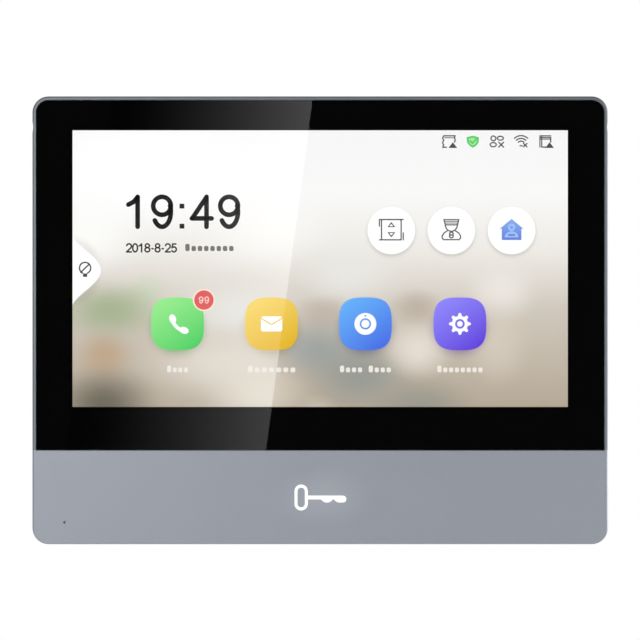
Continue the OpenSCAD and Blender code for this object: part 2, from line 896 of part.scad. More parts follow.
// Shielded socket for a network cable; it opens downwards and has a groove for the plug's latch.
module network_jack() {
    rear = d_board_rear - jack_h;
    bottom = jack_top - jack_l;
    mouth_half_w = 5.9;
    mouth_h = 6.8;
    mouth_deep = 12;
    mouth_rear = rear + 2.6;
    latch_half_w = 3;
    latch_rear = rear + 1.2;
    color("#c3c6ca") difference() {
        block(jack_x - jack_w / 2, jack_x + jack_w / 2, bottom, jack_top, rear, d_board_rear);
        block(jack_x - mouth_half_w, jack_x + mouth_half_w, bottom - cut, bottom + mouth_deep, mouth_rear,
            mouth_rear + mouth_h);
        block(jack_x - latch_half_w, jack_x + latch_half_w, bottom - cut, bottom + mouth_deep, latch_rear,
            mouth_rear + 0.1);
    }
}

// Eight gold springs inside the socket's mouth, on the side away from the latch.
module jack_contacts() {
    spring_count = 8;
    spring_pitch = 1.02;
    spring_w = 0.4;
    spring_low = jack_top - jack_l + 3;
    spring_l = 9;
    spring_rear = d_board_rear - jack_h + 8.9;
    spring_t = 0.5;
    color("#d9b24a") for (i = [0 : spring_count - 1]) {
        x = jack_x + (i - (spring_count - 1) / 2) * spring_pitch;
        block(x - spring_w / 2, x + spring_w / 2, spring_low, spring_low + spring_l, spring_rear,
            spring_rear + spring_t);
    }
}

// Middle of one of a row of poles.
function pole_x(x, i, poles, pitch) = x + (i - (poles - 1) / 2) * pitch;

// Pin header for a pluggable terminal block; it opens downwards.
module header(x, poles, pitch) {
    end_t = 1;
    wall = 0.8;
    back_wall = 1.6;
    rear_wall = 0.3;
    front_wall = 0.4;
    half = poles * pitch / 2 + end_t;
    rear = d_board_rear - header_h;
    bottom = header_top - header_l;
    difference() {
        block(x - half, x + half, bottom, header_top, rear, d_board_rear);
        block(x - half + wall, x + half - wall, bottom - cut, header_top - back_wall, rear + rear_wall,
            d_board_rear - front_wall);
    }
}

module header_pins(x, poles, pitch) {
    pin_half = 0.5;
    pin_low = header_top - header_l + 1.5;
    pin_top = header_top - 1.6;
    middle = d_board_rear - header_h / 2;
    for (i = [0 : poles - 1]) {
        px = pole_x(x, i, poles, pitch);
        block(px - pin_half, px + pin_half, pin_low, pin_top, middle - pin_half, middle + pin_half);
    }
}

// Terminal block with a wire hole and a clamping screw for each pole.
module plug(x, poles, pitch) {
    half = poles * pitch / 2;
    top = header_top - header_l + plug_depth_in;
    bottom = top - plug_l;
    middle = d_board_rear - header_h / 2;
    rear = middle - plug_h / 2;
    pin_half = 0.8;
    pin_slot_low = bottom + 7;
    wire_half = 1.2;
    wire_deep = 5;
    screw_well_d = terminal_screw_d + 0.1;
    screw_well_end = rear + 1.6;
    difference() {
        block(x - half, x + half, bottom, top, rear, rear + plug_h);
        for (i = [0 : poles - 1]) {
            px = pole_x(x, i, poles, pitch);
            block(px - pin_half, px + pin_half, pin_slot_low, top + cut, middle - pin_half,
                middle + pin_half);
            block(px - wire_half, px + wire_half, bottom - cut, bottom + wire_deep, middle - 0.4,
                middle + 2.2);
            rod(px, bottom + terminal_screw_up, screw_well_d, rear - cut, screw_well_end);
        }
    }
}

// Slotted clamping screws, seen from the rear.
module plug_screws(x, poles, pitch) {
    screw_z = header_top - header_l + plug_depth_in - plug_l + terminal_screw_up;
    rear = d_board_rear - header_h / 2 - plug_h / 2;
    slot_half_w = 0.9;
    slot_half_h = 0.25;
    for (i = [0 : poles - 1]) {
        px = pole_x(x, i, poles, pitch);
        difference() {
            rod(px, screw_z, terminal_screw_d, rear + 0.3, rear + 1.6);
            block(px - slot_half_w, px + slot_half_w, screw_z - slot_half_h, screw_z + slot_half_h, rear,
                rear + 0.8);
        }
    }
}

module power_header() {
    color("#2f6f49") header(power_x, power_poles, power_pitch);
}

module power_plug() {
    color("#3f8f5f") plug(power_x, power_poles, power_pitch);
}

module alarm_header() {
    color("#2f6f49") header(alarm_x, alarm_poles, alarm_pitch);
}

module alarm_plug() {
    color("#3f8f5f") plug(alarm_x, alarm_poles, alarm_pitch);
}

module power_plug_screws() {
    color("#b8bbc0") plug_screws(power_x, power_poles, power_pitch);
}

module alarm_plug_screws() {
    color("#b8bbc0") plug_screws(alarm_x, alarm_poles, alarm_pitch);
}

module connector_pins() {
    color("#d8d3c4") {
        header_pins(power_x, power_poles, power_pitch);
        header_pins(alarm_x, alarm_poles, alarm_pitch);
    }
}

// Square switch body with a round well for the button.
module reset_switch() {
    color("#2c2c30") difference() {
        block(reset_x - reset_side / 2, reset_x + reset_side / 2, reset_z - reset_side / 2,
            reset_z + reset_side / 2,
            d_board_rear - reset_depth, d_board_rear);
        rod(reset_x, reset_z, reset_well_d, d_board_rear - reset_depth - cut, reset_floor);
    }
}

module reset_button() {
    button_play = 0.1;
    stands_out = 0.9;
    color("#d8d9db")
        rod(reset_x, reset_z, reset_well_d - button_play, d_board_rear - reset_depth - stands_out,
        reset_floor - reset_throw - button_play);
}

// Network transformer: a core on a wider foot.
module transformer() {
    foot_t = 1.6;
    core_inset = 1.5;
    core_h = 8;
    color("#2d2d30") {
        block(-40, -26, 28, 38, d_board_rear - foot_t, d_board_rear);
        block(-40 + core_inset, -26 - core_inset, 28, 38, d_board_rear - core_h, d_board_rear - foot_t + eps);
    }
}

module capacitors() {
    can_d = 8;
    can_h = 8.5;
    color("#34507a") for (x = [-14, -3, 8]) rod(x, 33, can_d, d_board_rear - can_h, d_board_rear);
}

module coin_cell_holder() {
    holder_t = 0.35;
    holder_d = coin_d + 0.2;
    color("#1d1d20")
        ring(coin_x, coin_z, holder_d + 2 * holder_t, holder_d, d_board_rear - 3.4, d_board_rear);
}

module coin_cell() {
    coin_t = 2.6;
    coin_lift = 0.4;
    color("#d2d5d9") rod(coin_x, coin_z, coin_d, d_board_rear - coin_lift - coin_t, d_board_rear - coin_lift);
}

// Stuck-on film inside the rear cover.
module wifi_antenna() {
    color("#b5852b") block(-68, -40, 52, 59, d_floor, d_floor + antenna_t);
}

module antenna_coax() {
    coax_d = 1.2;
    along = -(d_floor + 1.6);
    color("#1b1b1e") wire([
        [-41, -(d_floor + antenna_t + coax_d / 2), 55],
        [-38, along, 52],
        [38, along, 52],
        [44, -9, 46],
        [46, -12, 43],
        [47, -(d_board_front + 1.3), 42],
        [47, -(d_board_front + 1.3), 34]
    ], coax_d);
}

// ---------- rear cover, label and wall plate ----------

// Outline of the space that the wall plate sits in, with room below it for the lift.
module recess_outline() {
    play = 1;
    rounded(-plate_half_w - play, plate_half_w + play, plate_bottom - lift - play, plate_top + play, plate_r);
    translate([-tongue_half_w - play, -half_h]) square([2 * (tongue_half_w + play), half_h + plate_bottom]);
}

// Round holes on a triangular grid, in front of the loudspeaker.
module grille_holes() {
    rows = 5;
    row_step = grille_pitch * sqrt(3) / 2;
    for (row = [-rows : rows], i = [-rows : rows]) {
        dx = (i + (abs(row) % 2) / 2) * grille_pitch;
        dz = row * row_step;
        if (norm([dx, dz]) < grille_r - grille_hole_d / 2)
            rod(speaker_x + dx, speaker_z + dz, grille_hole_d, 0, d_floor + cut);
    }
}

// A row of upright slots near the top.
module vent_slots() {
    slot_count = 13;
    slot_pitch = 6;
    slot_half_w = 0.8;
    slot_low = 53.5;
    slot_high = 60.5;
    for (i = [0 : slot_count - 1]) {
        x = (i - (slot_count - 1) / 2) * slot_pitch;
        slab(0, d_floor + cut)
            rounded(x - slot_half_w, x + slot_half_w, slot_low, slot_high, slot_half_w - eps);
    }
}

// Cut-outs in the floor of the connector bay.
module bay_cuts() {
    near = d_bay_outer - cut;
    far = d_bay_inner + cut;
    reset_half = reset_side / 2 + 0.2;
    power_half = power_poles * power_pitch / 2 + bay_cut_side;
    alarm_half = alarm_poles * alarm_pitch / 2 + bay_cut_side;
    top = header_top + plug_play;
    block(jack_x - jack_w / 2 - plug_play, jack_x + jack_w / 2 + plug_play, jack_top - jack_l - plug_play,
        bay_top,
        near, far);
    block(power_x - power_half, power_x + power_half, bay_cut_bottom, top, near, far);
    block(alarm_x - alarm_half, alarm_x + alarm_half, bay_cut_bottom, top, near, far);
    block(reset_x - reset_half, reset_x + reset_half, reset_z - reset_half, reset_z + reset_half, near, far);
}

// Slot and undercut that take one hook of the wall plate.
module hook_slot(x, top) {
    half = hook_w / 2 + slot_side_play;
    block(x - half, x + half, top - slot_h, top, 0, pocket_front);
    block(x - half, x + half, top - slot_h, top + hook_lip_h + hook_top_play, d_floor, pocket_front);
}

// Box inside the cover that closes off one hook slot.
module hook_pocket(x, top) {
    half = hook_w / 2 + slot_side_play + pocket_t;
    block(x - half, x + half, top - slot_h - pocket_t, top + hook_lip_h + hook_top_play + pocket_t,
        d_floor - eps,
        pocket_front + pocket_t);
}

// Tapered outside of the rear cover.
module cover_outside() {
    side_inset = 0.8;
    shoulder_inset = 2;
    shoulder_depth = 5.6;
    back_inset = 7;
    sheet = 0.01;
    hull() {
        slab(d_seam - sheet, d_seam)
            rounded_mid(half_w - side_inset, half_h - side_inset, corner_r - side_inset, $fn = 32);
        slab(shoulder_depth, shoulder_depth + sheet)
            rounded_mid(half_w - shoulder_inset, half_h - shoulder_inset, corner_r, $fn = 32);
        slab(d_back, d_back + sheet)
            rounded_mid(half_w - back_inset, half_h - back_inset, corner_r, $fn = 32);
    }
}

module rear_cover() {
    upper_inset = 6.6;
    upper_depth = 7;
    lower_inset = 4.2;
    inside_r = 3;
    lip_h = 1.5;
    lip_t = 1.2;
    lip_play = 0.2;
    lip_root = 3;
    lip_half_w = cavity_half_w - lip_play;
    lip_half_h = cavity_half_h - lip_play;
    counterbore_depth = 8.5;
    boss_wall = 1.2;
    bush_top_play = 0.5;
    case_xs = [upper_post_x, lower_post_x];
    case_zs = [upper_post_z, lower_post_z];
    color("#d7d9dc") difference() {
        union() {
            difference() {
                cover_outside();
                slab(d_floor, upper_depth) rounded_mid(half_w - upper_inset, half_h - upper_inset, inside_r);
                slab(upper_depth - 0.5, d_seam + cut)
                    rounded_mid(half_w - lower_inset, half_h - lower_inset, inside_r);
            }
            // Lip that locates the cover in the front frame
            slab(d_seam - lip_root, d_seam + lip_h) difference() {
                rounded_mid(lip_half_w, lip_half_h, cavity_r - lip_play);
                rounded_mid(lip_half_w - 2 * lip_t, lip_half_h - 2 * lip_t, cavity_r);
            }
            block(-bay_half_w - bay_t, bay_half_w + bay_t, bay_bottom - bay_t, bay_top + bay_t, d_floor - eps,
                d_bay_inner);
            for (side = [-1, 1], top = hook_tops) hook_pocket(side * hook_x, top);
            for (side = [-1, 1], i = [0, 1])
                rod(side * case_xs[i], case_zs[i], cover_post_d, d_floor - eps, d_seam);
            // Pocket round the locking flange, and the boss above it
            block(-notch_half_w - notch_t, notch_half_w + notch_t, -half_h + lower_inset - 1, notch_top + 2,
                d_floor - eps, notch_front + notch_t);
            translate([0, -lock_depth, notch_top + 1])
                cylinder(h = insert_h + bush_top_play, d = insert_d + 2 * boss_wall);
        }
        slab(-cut, d_recess) recess_outline();
        block(-bay_half_w, bay_half_w, bay_bottom, bay_top, 0, d_bay_outer);
        for (side = [-1, 1], top = hook_tops) hook_slot(side * hook_x, top);
        for (side = [-1, 1], i = [0, 1]) {
            rod(side * case_xs[i], case_zs[i], case_head_d + 2 * plug_play, 0, counterbore_depth);
            rod(side * case_xs[i], case_zs[i], case_screw_d + plug_play, counterbore_depth - 0.5,
                d_seam + cut);
        }
        block(-notch_half_w, notch_half_w, -half_h - cut, notch_top, 0, notch_front);
        translate([0, -lock_depth, notch_top - cut]) cylinder(h = 2 * cut, d = lock_screw_d + clear_play);
        translate([0, -lock_depth, notch_top + bush_top_play]) cylinder(h = insert_h + 2, d = insert_d);
        grille_holes();
        vent_slots();
        bay_cuts();
        // Shallow seat for the label
        slab(0, d_back + label_t) rounded(label_left, label_right, label_low, label_high, label_r);
    }
}

module rating_label() {
    inset = 0.2;
    glue_t = 0.02;
    color("#eceded") slab(d_back + glue_t, d_back + label_t) rounded(label_left + inset, label_right - inset,
        label_low + inset, label_high - inset, label_r - inset / 2);
}

module rear_screws() {
    color("#6f7278") for (side = [-1, 1]) {
        screw_forward(side * upper_post_x, upper_post_z, case_screw_d, case_head_d, case_head_t,
            case_head_depth,
            d_bracket_back - 0.4);
        screw_forward(side * lower_post_x, lower_post_z, case_screw_d, case_head_d, case_head_t,
            case_head_depth,
            lower_screw_end);
    }
}

// Threaded brass bush that the locking screw holds in.
module lock_insert() {
    color("#c9a24a") translate([0, -lock_depth, notch_top + 0.5]) difference() {
        cylinder(h = insert_h, d = insert_d - 2 * eps);
        translate([0, 0, -cut]) cylinder(h = insert_h + 2 * cut, d = lock_screw_d + 0.1);
    }
}

// One hook: an arm out from the sheet and a lip that points up.
module hook(x, top) {
    half = hook_w / 2;
    block(x - half, x + half, top - hook_t, top, 0, hook_lip_front);
    block(x - half, x + half, top - eps, top + hook_lip_h, hook_lip_back, hook_lip_front);
}

// Bent sheet: a plate with four hooks, a tongue and a flange for the locking screw.
module wall_plate() {
    window_r = 3;
    hook_side_cut = 0.6;
    hook_top_cut = 1.5;
    wall_hole_xs = [-corner_hole_x, corner_hole_x];
    color("#b4b8bd") difference() {
        union() {
            slab(0, plate_t) {
                rounded(-plate_half_w, plate_half_w, plate_bottom, plate_top, plate_r);
                translate([-tongue_half_w, flange_top])
                    square([2 * tongue_half_w, plate_bottom - flange_top + 1]);
            }
            block(-flange_half_w, flange_half_w, flange_top - plate_t, flange_top + eps, 0, flange_front);
            for (side = [-1, 1], top = hook_tops) hook(side * hook_x, top);
        }
        // Windows that the hooks are bent out of
        for (side = [-1, 1], top = hook_tops)
            block(side * hook_x - hook_w / 2 - hook_side_cut, side * hook_x + hook_w / 2 + hook_side_cut, top,
                top + hook_lip_h + hook_top_cut, -cut, plate_t + cut);
        slab(-cut, plate_t + cut) {
            rounded(plate_window[0], plate_window[1], plate_window[2], plate_window[3], window_r);
            for (side = [-1, 1]) {
                translate([side * box_screw_pitch / 2, 0]) circle(d = wall_hole_d);
                translate([0, side * gang_screw_pitch / 2]) circle(d = wall_hole_d);
            }
            for (x = wall_hole_xs, z = corner_hole_zs) translate([x, z]) circle(d = wall_hole_d);
        }
        translate([0, -lock_depth, flange_top - plate_t - cut])
            cylinder(h = plate_t + 2 * cut, d = lock_screw_d + clear_play);
    }
}

// Cross-head screw that goes up through the plate's flange into the bush.
module locking_screw() {
    head_top = flange_top - plate_t;
    shank_l = 5.6;
    cross_l = 3.2;
    cross_w = 0.6;
    cross_deep = 1.3;
    color("#6f7278") translate([0, -lock_depth, 0]) difference() {
        union() {
            translate([0, 0, head_top - lock_head_t]) cylinder(h = lock_head_t, d = lock_head_d);
            translate([0, 0, head_top - eps]) cylinder(h = shank_l, d = lock_screw_d);
        }
        for (turn = [0, 90]) rotate([0, 0, turn])
            translate([-cross_l / 2, -cross_w / 2, head_top - lock_head_t - cut])
                cube([cross_l, cross_w, cut + cross_deep]);
    }
}

// ---------- what is drawn ----------

front_frame();
cover_glass();
glass_mask();
glass_adhesive();
lcd_cell();
backlight_frame();
diffuser_sheets();
light_guide_plate();
backlight_leds();
lcd_back_plate();
lcd_foam();
panel_bracket();
bracket_screws();
key_light_guide();
key_board();
key_leds();
key_screws();
mic_capsule();
mic_boot();
mic_wires();
speaker_gasket();
speaker_basket();
speaker_magnet();
speaker_cone();
speaker_wires();
main_board();
board_screws();
processor();
rf_shield();
thermal_pad();
small_chips();
inductors();
wifi_module();
board_sockets();
lcd_ribbon();
touch_ribbon();
key_ribbon();
network_jack();
jack_contacts();
power_header();
power_plug();
alarm_header();
alarm_plug();
power_plug_screws();
alarm_plug_screws();
connector_pins();
reset_switch();
reset_button();
transformer();
capacitors();
coin_cell_holder();
coin_cell();
wifi_antenna();
antenna_coax();
rear_cover();
rating_label();
rear_screws();
lock_insert();
wall_plate();
locking_screw();
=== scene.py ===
"""Looks of the wall-mounted video intercom monitor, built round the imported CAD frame.

Metres; +X is right as seen from the front, +Z is up and the screen faces -Y.
"""
import math

import bmesh
import bpy
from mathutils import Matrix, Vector


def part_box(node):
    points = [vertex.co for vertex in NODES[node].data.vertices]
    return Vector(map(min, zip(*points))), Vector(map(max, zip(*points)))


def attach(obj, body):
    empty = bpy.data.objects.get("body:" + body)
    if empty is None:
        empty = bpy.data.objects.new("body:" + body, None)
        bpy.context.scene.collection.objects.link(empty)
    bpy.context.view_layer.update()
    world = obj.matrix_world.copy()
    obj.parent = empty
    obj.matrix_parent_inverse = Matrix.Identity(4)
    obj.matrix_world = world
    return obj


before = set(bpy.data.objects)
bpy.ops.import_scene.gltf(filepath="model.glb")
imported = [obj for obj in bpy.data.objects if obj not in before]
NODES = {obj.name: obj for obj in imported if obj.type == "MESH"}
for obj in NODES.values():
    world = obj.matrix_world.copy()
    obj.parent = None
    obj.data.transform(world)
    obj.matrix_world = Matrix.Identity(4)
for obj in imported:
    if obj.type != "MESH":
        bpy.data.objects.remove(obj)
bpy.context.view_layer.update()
MM = 0.001

# ---------- places, all worked out from the frame ----------

SHELL_LOW, SHELL_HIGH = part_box("front_frame")
GLASS_LOW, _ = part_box("cover_glass")
CELL_LOW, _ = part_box("lcd_cell")
KEY_LOW, KEY_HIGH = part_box("key_light_guide")
BODY_W = SHELL_HIGH.x - SHELL_LOW.x
FACE_Y = SHELL_LOW.y
# The display's picture: its size and how far below the casing's top it starts
ACTIVE_W = 153.8 * MM
ACTIVE_H = 85.9 * MM
ACTIVE_TOP = SHELL_HIGH.z - 10.5 * MM
# The picture is drawn with thin sheets that lie in the gap between the cell and the glass.
PAPER_Y = CELL_LOW.y - 0.02 * MM
SHEET_T = 0.02 * MM
LAYER = 0.03 * MM


# ---------- camera ----------

# The body's share of the view's width
BODY_SHARE = 0.8990625
VIEW_W = BODY_W / BODY_SHARE
CAMERA_X = -0.05 * MM
CAMERA_Z = 0.1 * MM
CAMERA_DISTANCE = 2.0
CAMERA_RANGE = (0.01, 20.0)
SENSOR_W = 36.0


def make_camera():
    """A camera straight in front of the monitor."""
    data = bpy.data.cameras.new("camera")
    data.sensor_width = SENSOR_W
    data.lens = SENSOR_W * CAMERA_DISTANCE / VIEW_W
    data.clip_start, data.clip_end = CAMERA_RANGE
    camera = bpy.data.objects.new("camera", data)
    bpy.context.scene.collection.objects.link(camera)
    camera.location = (CAMERA_X, FACE_Y - CAMERA_DISTANCE, CAMERA_Z)
    camera.rotation_euler = (math.pi / 2, 0.0, 0.0)
    bpy.context.scene.camera = camera


# ---------- material helpers ----------

# A Mix node's sockets: its factor, its pair of numbers, its pair of colours and its results
MIX_FACTOR = 0
MIX_NUMBERS = (2, 3)
MIX_COLOURS = (6, 7)
MIX_NUMBER_OUT = 0
MIX_COLOUR_OUT = 2
# The part of a noise's range that a finish's two ends are spread over
NOISE_LOW = 0.3
NOISE_HIGH = 0.7
# How far a surface grain stands out where its bump is full
GRAIN_DEPTH = 0.02 * MM
# Sheet metal's drawn lines: noise scale, detail, stretch along X, shades of the colour and bump
LINES = 900.0
LINE_DETAIL = 4.0
LINE_STRETCH = (0.04, 1.0, 1.0)
LINE_SHADES = [(0.25, 0.82), (0.75, 1.1)]
LINE_BUMP = 0.15
METAL_PATCHES = 120.0
# How far a finish's roughness wanders to each side
PLASTIC_WANDER = 0.05
METAL_WANDER = 0.07
# A lit patch has no colour of its own, and shines by itself.
BLACK = (0.0, 0.0, 0.0, 1.0)
PICTURE_ROUGH = 0.6


class Maker:
    """A node material with its Principled shader, and short ways to add the usual nodes."""

    def __init__(self, name, **sockets):
        self.material = bpy.data.materials.new(name)
        self.material.use_nodes = True
        self.tree = self.material.node_tree
        self.shader = self.tree.nodes["Principled BSDF"]
        for socket, value in sockets.items():
            self.set(socket.replace("_", " "), value)

    def set(self, socket, value):
        self.shader.inputs[socket].default_value = value

    def node(self, kind, **inputs):
        made = self.tree.nodes.new(kind)
        for socket, value in inputs.items():
            made.inputs[socket.replace("_", " ")].default_value = value
        return made

    def link(self, out, into):
        self.tree.links.new(out, into)

    def place(self):
        """The object's own coordinates, in metres."""
        return self.node("ShaderNodeTexCoord").outputs["Object"]

    def noise(self, scale, detail=3.0, stretch=(1, 1, 1)):
        """Noise whose scale is in features per metre."""
        mapping = self.node("ShaderNodeMapping")
        mapping.inputs["Scale"].default_value = stretch
        self.link(self.place(), mapping.inputs["Vector"])
        noise = self.node("ShaderNodeTexNoise", Scale=scale, Detail=detail)
        self.link(mapping.outputs["Vector"], noise.inputs["Vector"])
        return noise.outputs["Fac"]

    def ramp(self, fac, stops):
        """A colour ramp; stops are (position, colour)."""
        ramp = self.node("ShaderNodeValToRGB")
        elements = ramp.color_ramp.elements
        while len(elements) < len(stops):
            elements.new(0.5)
        for element, (position, colour) in zip(elements, stops):
            element.position = position
            element.color = colour if len(colour) == 4 else (*colour, 1.0)
        self.link(fac, ramp.inputs["Fac"])
        return ramp.outputs["Color"]

    def math(self, operation, first, second, clamp=False):
        """A Math node's result; each value is a plain number or another node's result."""
        made = self.node("ShaderNodeMath")
        made.operation = operation
        made.use_clamp = clamp
        for index, value in enumerate([first, second]):
            if isinstance(value, (int, float)):
                made.inputs[index].default_value = value
            else:
                self.link(value, made.inputs[index])
        return made.outputs[0]

    def parts(self):
        """The place's X, Y and Z."""
        split = self.node("ShaderNodeSeparateXYZ")
        self.link(self.place(), split.inputs[0])
        return split.outputs[0], split.outputs[1], split.outputs[2]

    def ranged(self, value, from_min, from_max, to_min=0.0, to_max=1.0):
        """A value's range carried over to another range, and held at its ends."""
        made = self.node("ShaderNodeMapRange", From_Min=from_min, From_Max=from_max,
                         To_Min=to_min, To_Max=to_max)
        self.link(value, made.inputs["Value"])
        return made.outputs["Result"]

    def blend(self, base, over, factor, mode="MIX"):
        """The base with a plain colour laid over it by a factor."""
        mix = self.node("ShaderNodeMix")
        mix.data_type = "RGBA"
        mix.blend_type = mode
        under, upper = MIX_COLOURS
        self.link(factor, mix.inputs[MIX_FACTOR])
        self.link(base, mix.inputs[under])
        mix.inputs[upper].default_value = over
        return mix.outputs[MIX_COLOUR_OUT]

    def spot(self, cx, cz, half_w, half_h, hard=1.0):
        """One in the middle of an upright ellipse and nothing at its edge.

        A harder spot fades over a shorter way.
        """
        across, _, up = self.parts()
        dx = self.math("DIVIDE", self.math("SUBTRACT", across, cx), half_w)
        dz = self.math("DIVIDE", self.math("SUBTRACT", up, cz), half_h)
        square = self.math("ADD", self.math("MULTIPLY", dx, dx), self.math("MULTIPLY", dz, dz))
        inside = self.math("MULTIPLY", self.math("SUBTRACT", 1.0, square), hard, clamp=True)
        return self.math("MULTIPLY", inside, inside)

    def colour(self, out):
        self.link(out, self.shader.inputs["Base Color"])

    def rough(self, out):
        self.link(out, self.shader.inputs["Roughness"])

    def wander(self, rough, spread, scale):
        """Roughness that wanders by the spread to each side in coarse patches."""
        ends = [(NOISE_LOW, grey(rough - spread)), (NOISE_HIGH, grey(rough + spread))]
        self.rough(self.ramp(self.noise(scale), ends))

    def glow(self, out, strength):
        self.link(out, self.shader.inputs["Emission Color"])
        self.set("Emission Strength", strength)

    def bump(self, height, strength, distance):
        bump = self.node("ShaderNodeBump", Strength=strength, Distance=distance)
        self.link(height, bump.inputs["Height"])
        self.link(bump.outputs["Normal"], self.shader.inputs["Normal"])


def linear(r, g, b):
    """An sRGB colour of 0 to 255 as linear values."""
    def one(value):
        value /= 255
        return value / 12.92 if value <= 0.04045 else ((value + 0.055) / 1.055) ** 2.4
    return (one(r), one(g), one(b), 1.0)


def grey(value):
    return (value, value, value)


def tinted(colour, factor):
    return tuple(min(1.0, value * factor) for value in colour[:3]) + (1.0,)


def grained(name, colour, rough, spread=0.06, grain=1500.0, bump=0.0, **sockets):
    """A solid finish whose colour and roughness wander slightly, with a fine surface grain."""
    made = Maker(name, **sockets)
    noise = made.noise(grain)
    pale, deep = tinted(colour, 1 + spread), tinted(colour, 1 - spread)
    made.colour(made.ramp(noise, [(NOISE_LOW, deep), (NOISE_HIGH, pale)]))
    made.wander(rough, PLASTIC_WANDER, grain / 8)
    if bump:
        made.bump(noise, bump, GRAIN_DEPTH)
    return made.material


def brushed(name, colour, rough):
    """Sheet metal with fine drawn lines along X."""
    made = Maker(name, Metallic=1.0)
    lines = made.noise(LINES, LINE_DETAIL, LINE_STRETCH)
    made.colour(made.ramp(lines, [(place, tinted(colour, shade)) for place, shade in LINE_SHADES]))
    made.wander(rough, METAL_WANDER, METAL_PATCHES)
    made.bump(lines, LINE_BUMP, GRAIN_DEPTH)
    return made.material


def glare_fade(made, growth=1.0):
    """One at the glare's slanted edge, fading to nothing at its far side, and nothing past the edge."""
    across, _, up = made.parts()
    foot = (GLARE_FOOT_X - GLARE_SLANT * GLASS_LOW.z) * growth
    edge = made.math("ADD", made.math("MULTIPLY", up, GLARE_SLANT), foot)
    inset = made.math("SUBTRACT", edge, across)
    fade = made.math("POWER", made.ranged(inset, 0.0, GLARE_REACH * growth, 1.0, 0.0), GLARE_FALL)
    return made.math("MULTIPLY", fade, made.ranged(inset, -GLARE_EDGE, GLARE_EDGE))


def light_paint(name, stops, strength, low=0.0, high=1.0, tilt=0.0):
    """A lit patch, shaded from its height low to its height high, with a sideways tilt."""
    made = Maker(name, Roughness=PICTURE_ROUGH, Base_Color=BLACK)
    across, _, along = made.parts()
    if tilt:
        along = made.math("ADD", along, made.math("MULTIPLY", across, tilt))
    spread = made.ranged(along, low, high)
    made.glow(made.ramp(spread, stops), strength)
    return made.material


# ---------- mesh helpers ----------

def bow(cx, cz, rx, rz, start, end, steps=24):
    """Points of an elliptical arc, angles in degrees."""
    turns = [math.radians(start + (end - start) * i / steps) for i in range(steps + 1)]
    return [(cx + rx * math.cos(t), cz + rz * math.sin(t)) for t in turns]


def ellipse(cx, cz, rx, rz, steps=40):
    return bow(cx, cz, rx, rz, 0, 360 - 360 / steps, steps - 1)


def arc(cx, cz, r, start, end, steps=12):
    return bow(cx, cz, r, r, start, end, steps)


def circle(cx, cz, r, steps=48):
    return ellipse(cx, cz, r, r, steps)


def rounded(x0, x1, z0, z1, r, steps=4):
    """A rectangle with rounded corners."""
    left, right = x0 + r, x1 - r
    foot, top = z0 + r, z1 - r
    points = []
    for cx, cz, start in [(right, top, 0), (left, top, 90), (left, foot, 180), (right, foot, 270)]:
        points += arc(cx, cz, r, start, start + 90, steps)
    return points


def squircle(half, power, steps=64):
    """A superellipse: a square whose sides run smoothly into its corners."""
    def eased(value):
        return half * math.copysign(abs(value) ** (2 / power), value)
    turns = [2 * math.pi * i / steps for i in range(steps)]
    return [(eased(math.cos(t)), eased(math.sin(t))) for t in turns]


# A corner's mitre is cut off where the cosine of half its turn is less than this.
SHARPEST_MITRE = 0.6
CAP_STEPS = 6


def stroke(points, width, closed=False):
    """An outline of constant width along a path, with mitred corners and round ends."""
    half = width / 2
    count = len(points)
    lefts, rights = [], []
    for i, (x, z) in enumerate(points):
        here = Vector((x, z))
        before = Vector(points[i - 1])
        after = Vector(points[(i + 1) % count])
        if not closed and i == 0:
            before = here * 2 - after
        if not closed and i == count - 1:
            after = here * 2 - before
        first, second = (here - before).normalized(), (after - here).normalized()
        along = (first + second).normalized()
        out = half / max(SHARPEST_MITRE, along.dot(first))
        lefts.append((x - along.y * out, z + along.x * out))
        rights.append((x + along.y * out, z - along.x * out))
    if closed:
        return [lefts, rights[::-1]]
    start = math.degrees(math.atan2(lefts[0][1] - points[0][1], lefts[0][0] - points[0][0]))
    end = math.degrees(math.atan2(rights[-1][1] - points[-1][1], rights[-1][0] - points[-1][0]))
    tail = arc(*points[0], half, start, start + 180, CAP_STEPS)[1:-1]
    nose = arc(*points[-1], half, end, end + 180, CAP_STEPS)[1:-1]
    return [rights + nose + lefts[::-1] + tail]


def plates(name, outlines, y, material, body="monitor"):
    """One object of thin plates facing -Y.

    Each outline is a list of loops: the first is the outside and the rest are holes.
    """
    mesh = bmesh.new()
    for loops in outlines:
        edges = []
        for loop in loops:
            verts = [mesh.verts.new((x, y, z)) for x, z in loop]
            edges += [mesh.edges.new((verts[i - 1], verts[i])) for i in range(len(verts))]
        bmesh.ops.triangle_fill(mesh, use_beauty=True, use_dissolve=False, edges=edges)
    bmesh.ops.recalc_face_normals(mesh, faces=mesh.faces)
    for face in mesh.faces:
        if face.normal.y > 0:
            face.normal_flip()
    front = list(mesh.faces)
    made = bmesh.ops.extrude_face_region(mesh, geom=front)
    moved = [part for part in made["geom"] if isinstance(part, bmesh.types.BMVert)]
    bmesh.ops.translate(mesh, verts=moved, vec=(0.0, -SHEET_T, 0.0))
    bmesh.ops.recalc_face_normals(mesh, faces=mesh.faces)
    data = bpy.data.meshes.new(name)
    mesh.to_mesh(data)
    mesh.free()
    piece = bpy.data.objects.new(name, data)
    bpy.context.scene.collection.objects.link(piece)
    data.materials.append(material)
    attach(piece, body)


# ---------- drawing on the display, in millimetres from its top left corner ----------

def screen(right, down):
    """A place on the display as world X and Z."""
    return (right * MM - ACTIVE_W / 2, ACTIVE_TOP - down * MM)


def placed(outlines, right, down, size=1.0):
    """Outlines drawn in millimetres about their own middle, with Z up, moved onto the display."""
    cx, cz = screen(right, down)
    scale = size * MM
    return [[[(cx + x * scale, cz + z * scale) for x, z in loop] for loop in loops] for loops in outlines]


